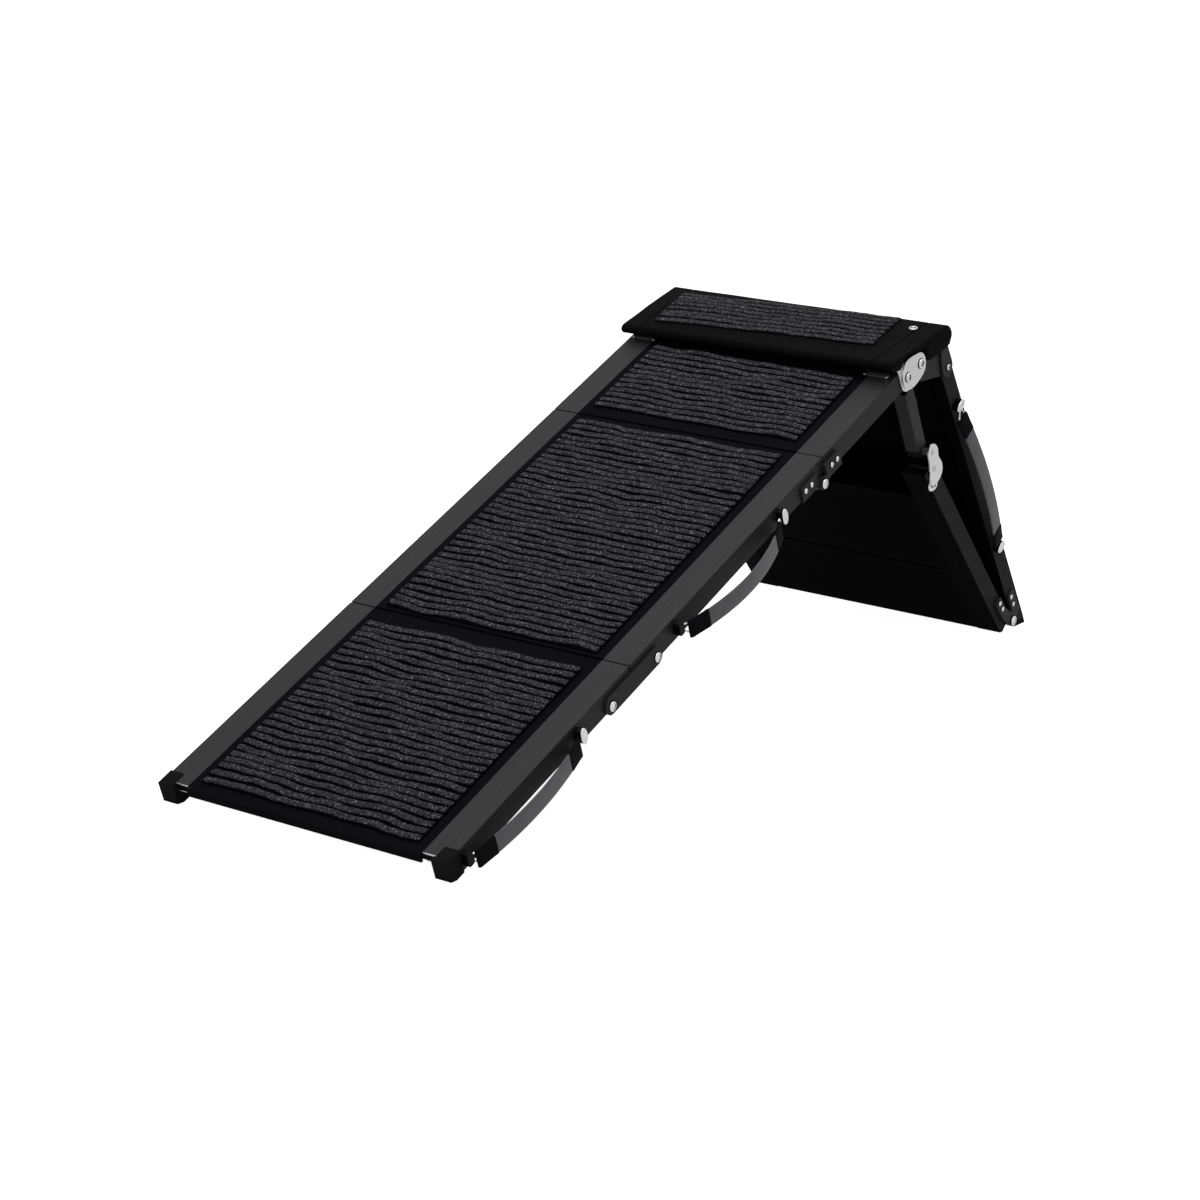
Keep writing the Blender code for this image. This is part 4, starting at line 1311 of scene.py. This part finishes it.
def heads(name, body, radius, height, places):
    """Bright dished heads on washer rings, on both sides of the ramp, as one piece. The washer rings and the dishes'
    walls are near-black: painted shade.
    """
    points, faces, looks = [], [], []
    for (place, u, n, inset), side in product(places, SIDES):
        base = len(points)
        for share, rise, _ in RIVET:
            w = level_of(inset - height * rise, side)
            reach = radius * share
            points += [
                place.point(u + reach * math.cos(a), w, n + reach * math.sin(a))
                for a in angles_of(HEAD_POINTS)
            ]
        faces += [tuple(base + v for v in face) for face in ring_faces(len(RIVET), HEAD_POINTS)]
        # Washer rings, dish walls and the bottom cap take the near-black look as painted shade; the dish's middle
        # stays bright
        looks += [dark for _, _, dark in RIVET[:-1] for _ in range(HEAD_POINTS)]
        looks += [1, 0]
    item = piece(name, mesh_from(name, points, faces), body, "bright_steel", "steel")
    item.data.materials.append(LOOKS["painted_shade"])
    item.data.polygons.foreach_set("material_index", looks)
    for edge in step_edges(item.data):
        edge.use_edge_sharp = True
    return item


def step_edges(mesh):
    """The edges round each step of a head, where its shading breaks."""
    size = len(RIVET) * HEAD_POINTS
    for edge in mesh.edges:
        rows = {(v % size) // HEAD_POINTS for v in edge.vertices}
        if len(rows) == 1 and rows & SHARP_RINGS:
            yield edge


def fastenings():
    """A head on every pin and screw of the ramp."""
    for group in HEADS:
        heads(*group)
    for name, body, place, pair, n, inset in SCREW_PAIRS:
        heads(name, body, SCREW_RADIUS, SCREW_RISE, [(place, u, n, inset) for u in pair])


# Stage and view

FLOOR_LEVEL = -0.0006
FLOOR_TONE = (0.86, 0.86, 0.86, 1)
FLOOR_SEEN = 0.95
FLOOR_MIRRORED = 0.3
WORLD_LEVEL = 0.3
CAMERA_PLACE = (-3.34094, -2.06293, 1.203125)
CAMERA_TURN = (32.83, 15.11, -2.78)
CAMERA_LENS = 89.58


def stage():
    """A pale floor that shows as white where it is lit, and keeps the ramp's shadow."""
    shape = bmesh.new()
    bmesh.ops.create_grid(shape, x_segments=2, y_segments=2, size=40)
    mesh = bpy.data.meshes.new("floor")
    shape.to_mesh(mesh)
    shape.free()
    floor = linked("floor", mesh)
    floor.location.z = FLOOR_LEVEL
    material = new_look("pale_floor", specular=0.1)
    shader = shader_of(material)
    shader.inputs["Base Color"].default_value = FLOOR_TONE
    shader.inputs["Roughness"].default_value = 0.9
    shader.inputs["Emission Color"].default_value = (1, 1, 1, 1)
    rays = add(material, "ShaderNodeLightPath")
    seen = spread(material, rays.outputs["Is Camera Ray"], 0.0, FLOOR_SEEN)
    mirrored = spread(material, rays.outputs["Is Glossy Ray"], 0.0, FLOOR_MIRRORED)
    join(material, maths(material, "ADD", seen, mirrored), shader.inputs["Emission Strength"])
    mesh.materials.append(material)
    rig.stage(floor)


def surroundings():
    """White to the camera and to reflections, and a plain level for the light itself."""
    world = bpy.data.worlds.new("studio")
    bpy.context.scene.world = world
    world.use_nodes = True
    background = world.node_tree.nodes["Background"]
    background.inputs["Color"].default_value = (1, 1, 1, 1)
    rays = add(world, "ShaderNodeLightPath")
    seen = maths(world, "MAXIMUM", rays.outputs["Is Camera Ray"], rays.outputs["Is Transmission Ray"])
    shown = maths(world, "MAXIMUM", seen, rays.outputs["Is Glossy Ray"])
    join(world, spread(world, shown, WORLD_LEVEL, 1.0), background.inputs["Strength"])


def lamp(name, place, target, size, power):
    """A square soft light that faces a point."""
    data = bpy.data.lights.new(name, "AREA")
    data.size = size
    data.energy = power
    item = linked(name, data)
    item.location = place
    item.rotation_euler = (Vector(target) - Vector(place)).to_track_quat("-Z", "Y").to_euler()


def lights():
    surroundings()
    lamp("overhead_light", (-0.2, 0.0, 3.0), (0, 0, 0.2), size=2.6, power=44)
    lamp("front_light", (-3.0, 0.8, 1.9), (0, 0, 0.3), size=1.6, power=11)
    lamp("side_light", (-0.6, -3.2, 1.4), (0.1, 0, 0.3), size=1.4, power=2.5)


def camera():
    """The photograph's view, as solved from the ramp's own edges."""
    yaw, pitch, roll = (math.radians(a) for a in CAMERA_TURN)
    ahead = Vector((math.cos(yaw) * math.cos(pitch), math.sin(yaw) * math.cos(pitch), -math.sin(pitch)))
    level = Vector((math.sin(yaw), -math.cos(yaw), 0))
    down = ahead.cross(level)
    across = math.cos(roll) * level + math.sin(roll) * down
    up = -(math.cos(roll) * down - math.sin(roll) * level)
    data = bpy.data.cameras.new("photo_camera")
    data.sensor_width = 36.0
    data.sensor_fit = "HORIZONTAL"
    data.lens = CAMERA_LENS
    item = linked("photo_camera", data)
    turn = Matrix((across, up, -ahead)).transposed()
    item.matrix_world = Matrix.Translation(CAMERA_PLACE) @ turn.to_4x4()
    bpy.context.scene.camera = item


bpy.context.scene.view_settings.view_transform = "Standard"
camera()
stage()
lights()
kept_nodes()
carpets()
platform_cover()
handles()
plates()
end_clips()
fastenings()
with open("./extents.json", "w") as sizes:
    json.dump({name: [list(v) for v in box] for name, box in (("cad", CAD_BOX), ("visual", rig.bounds()))}, sizes)
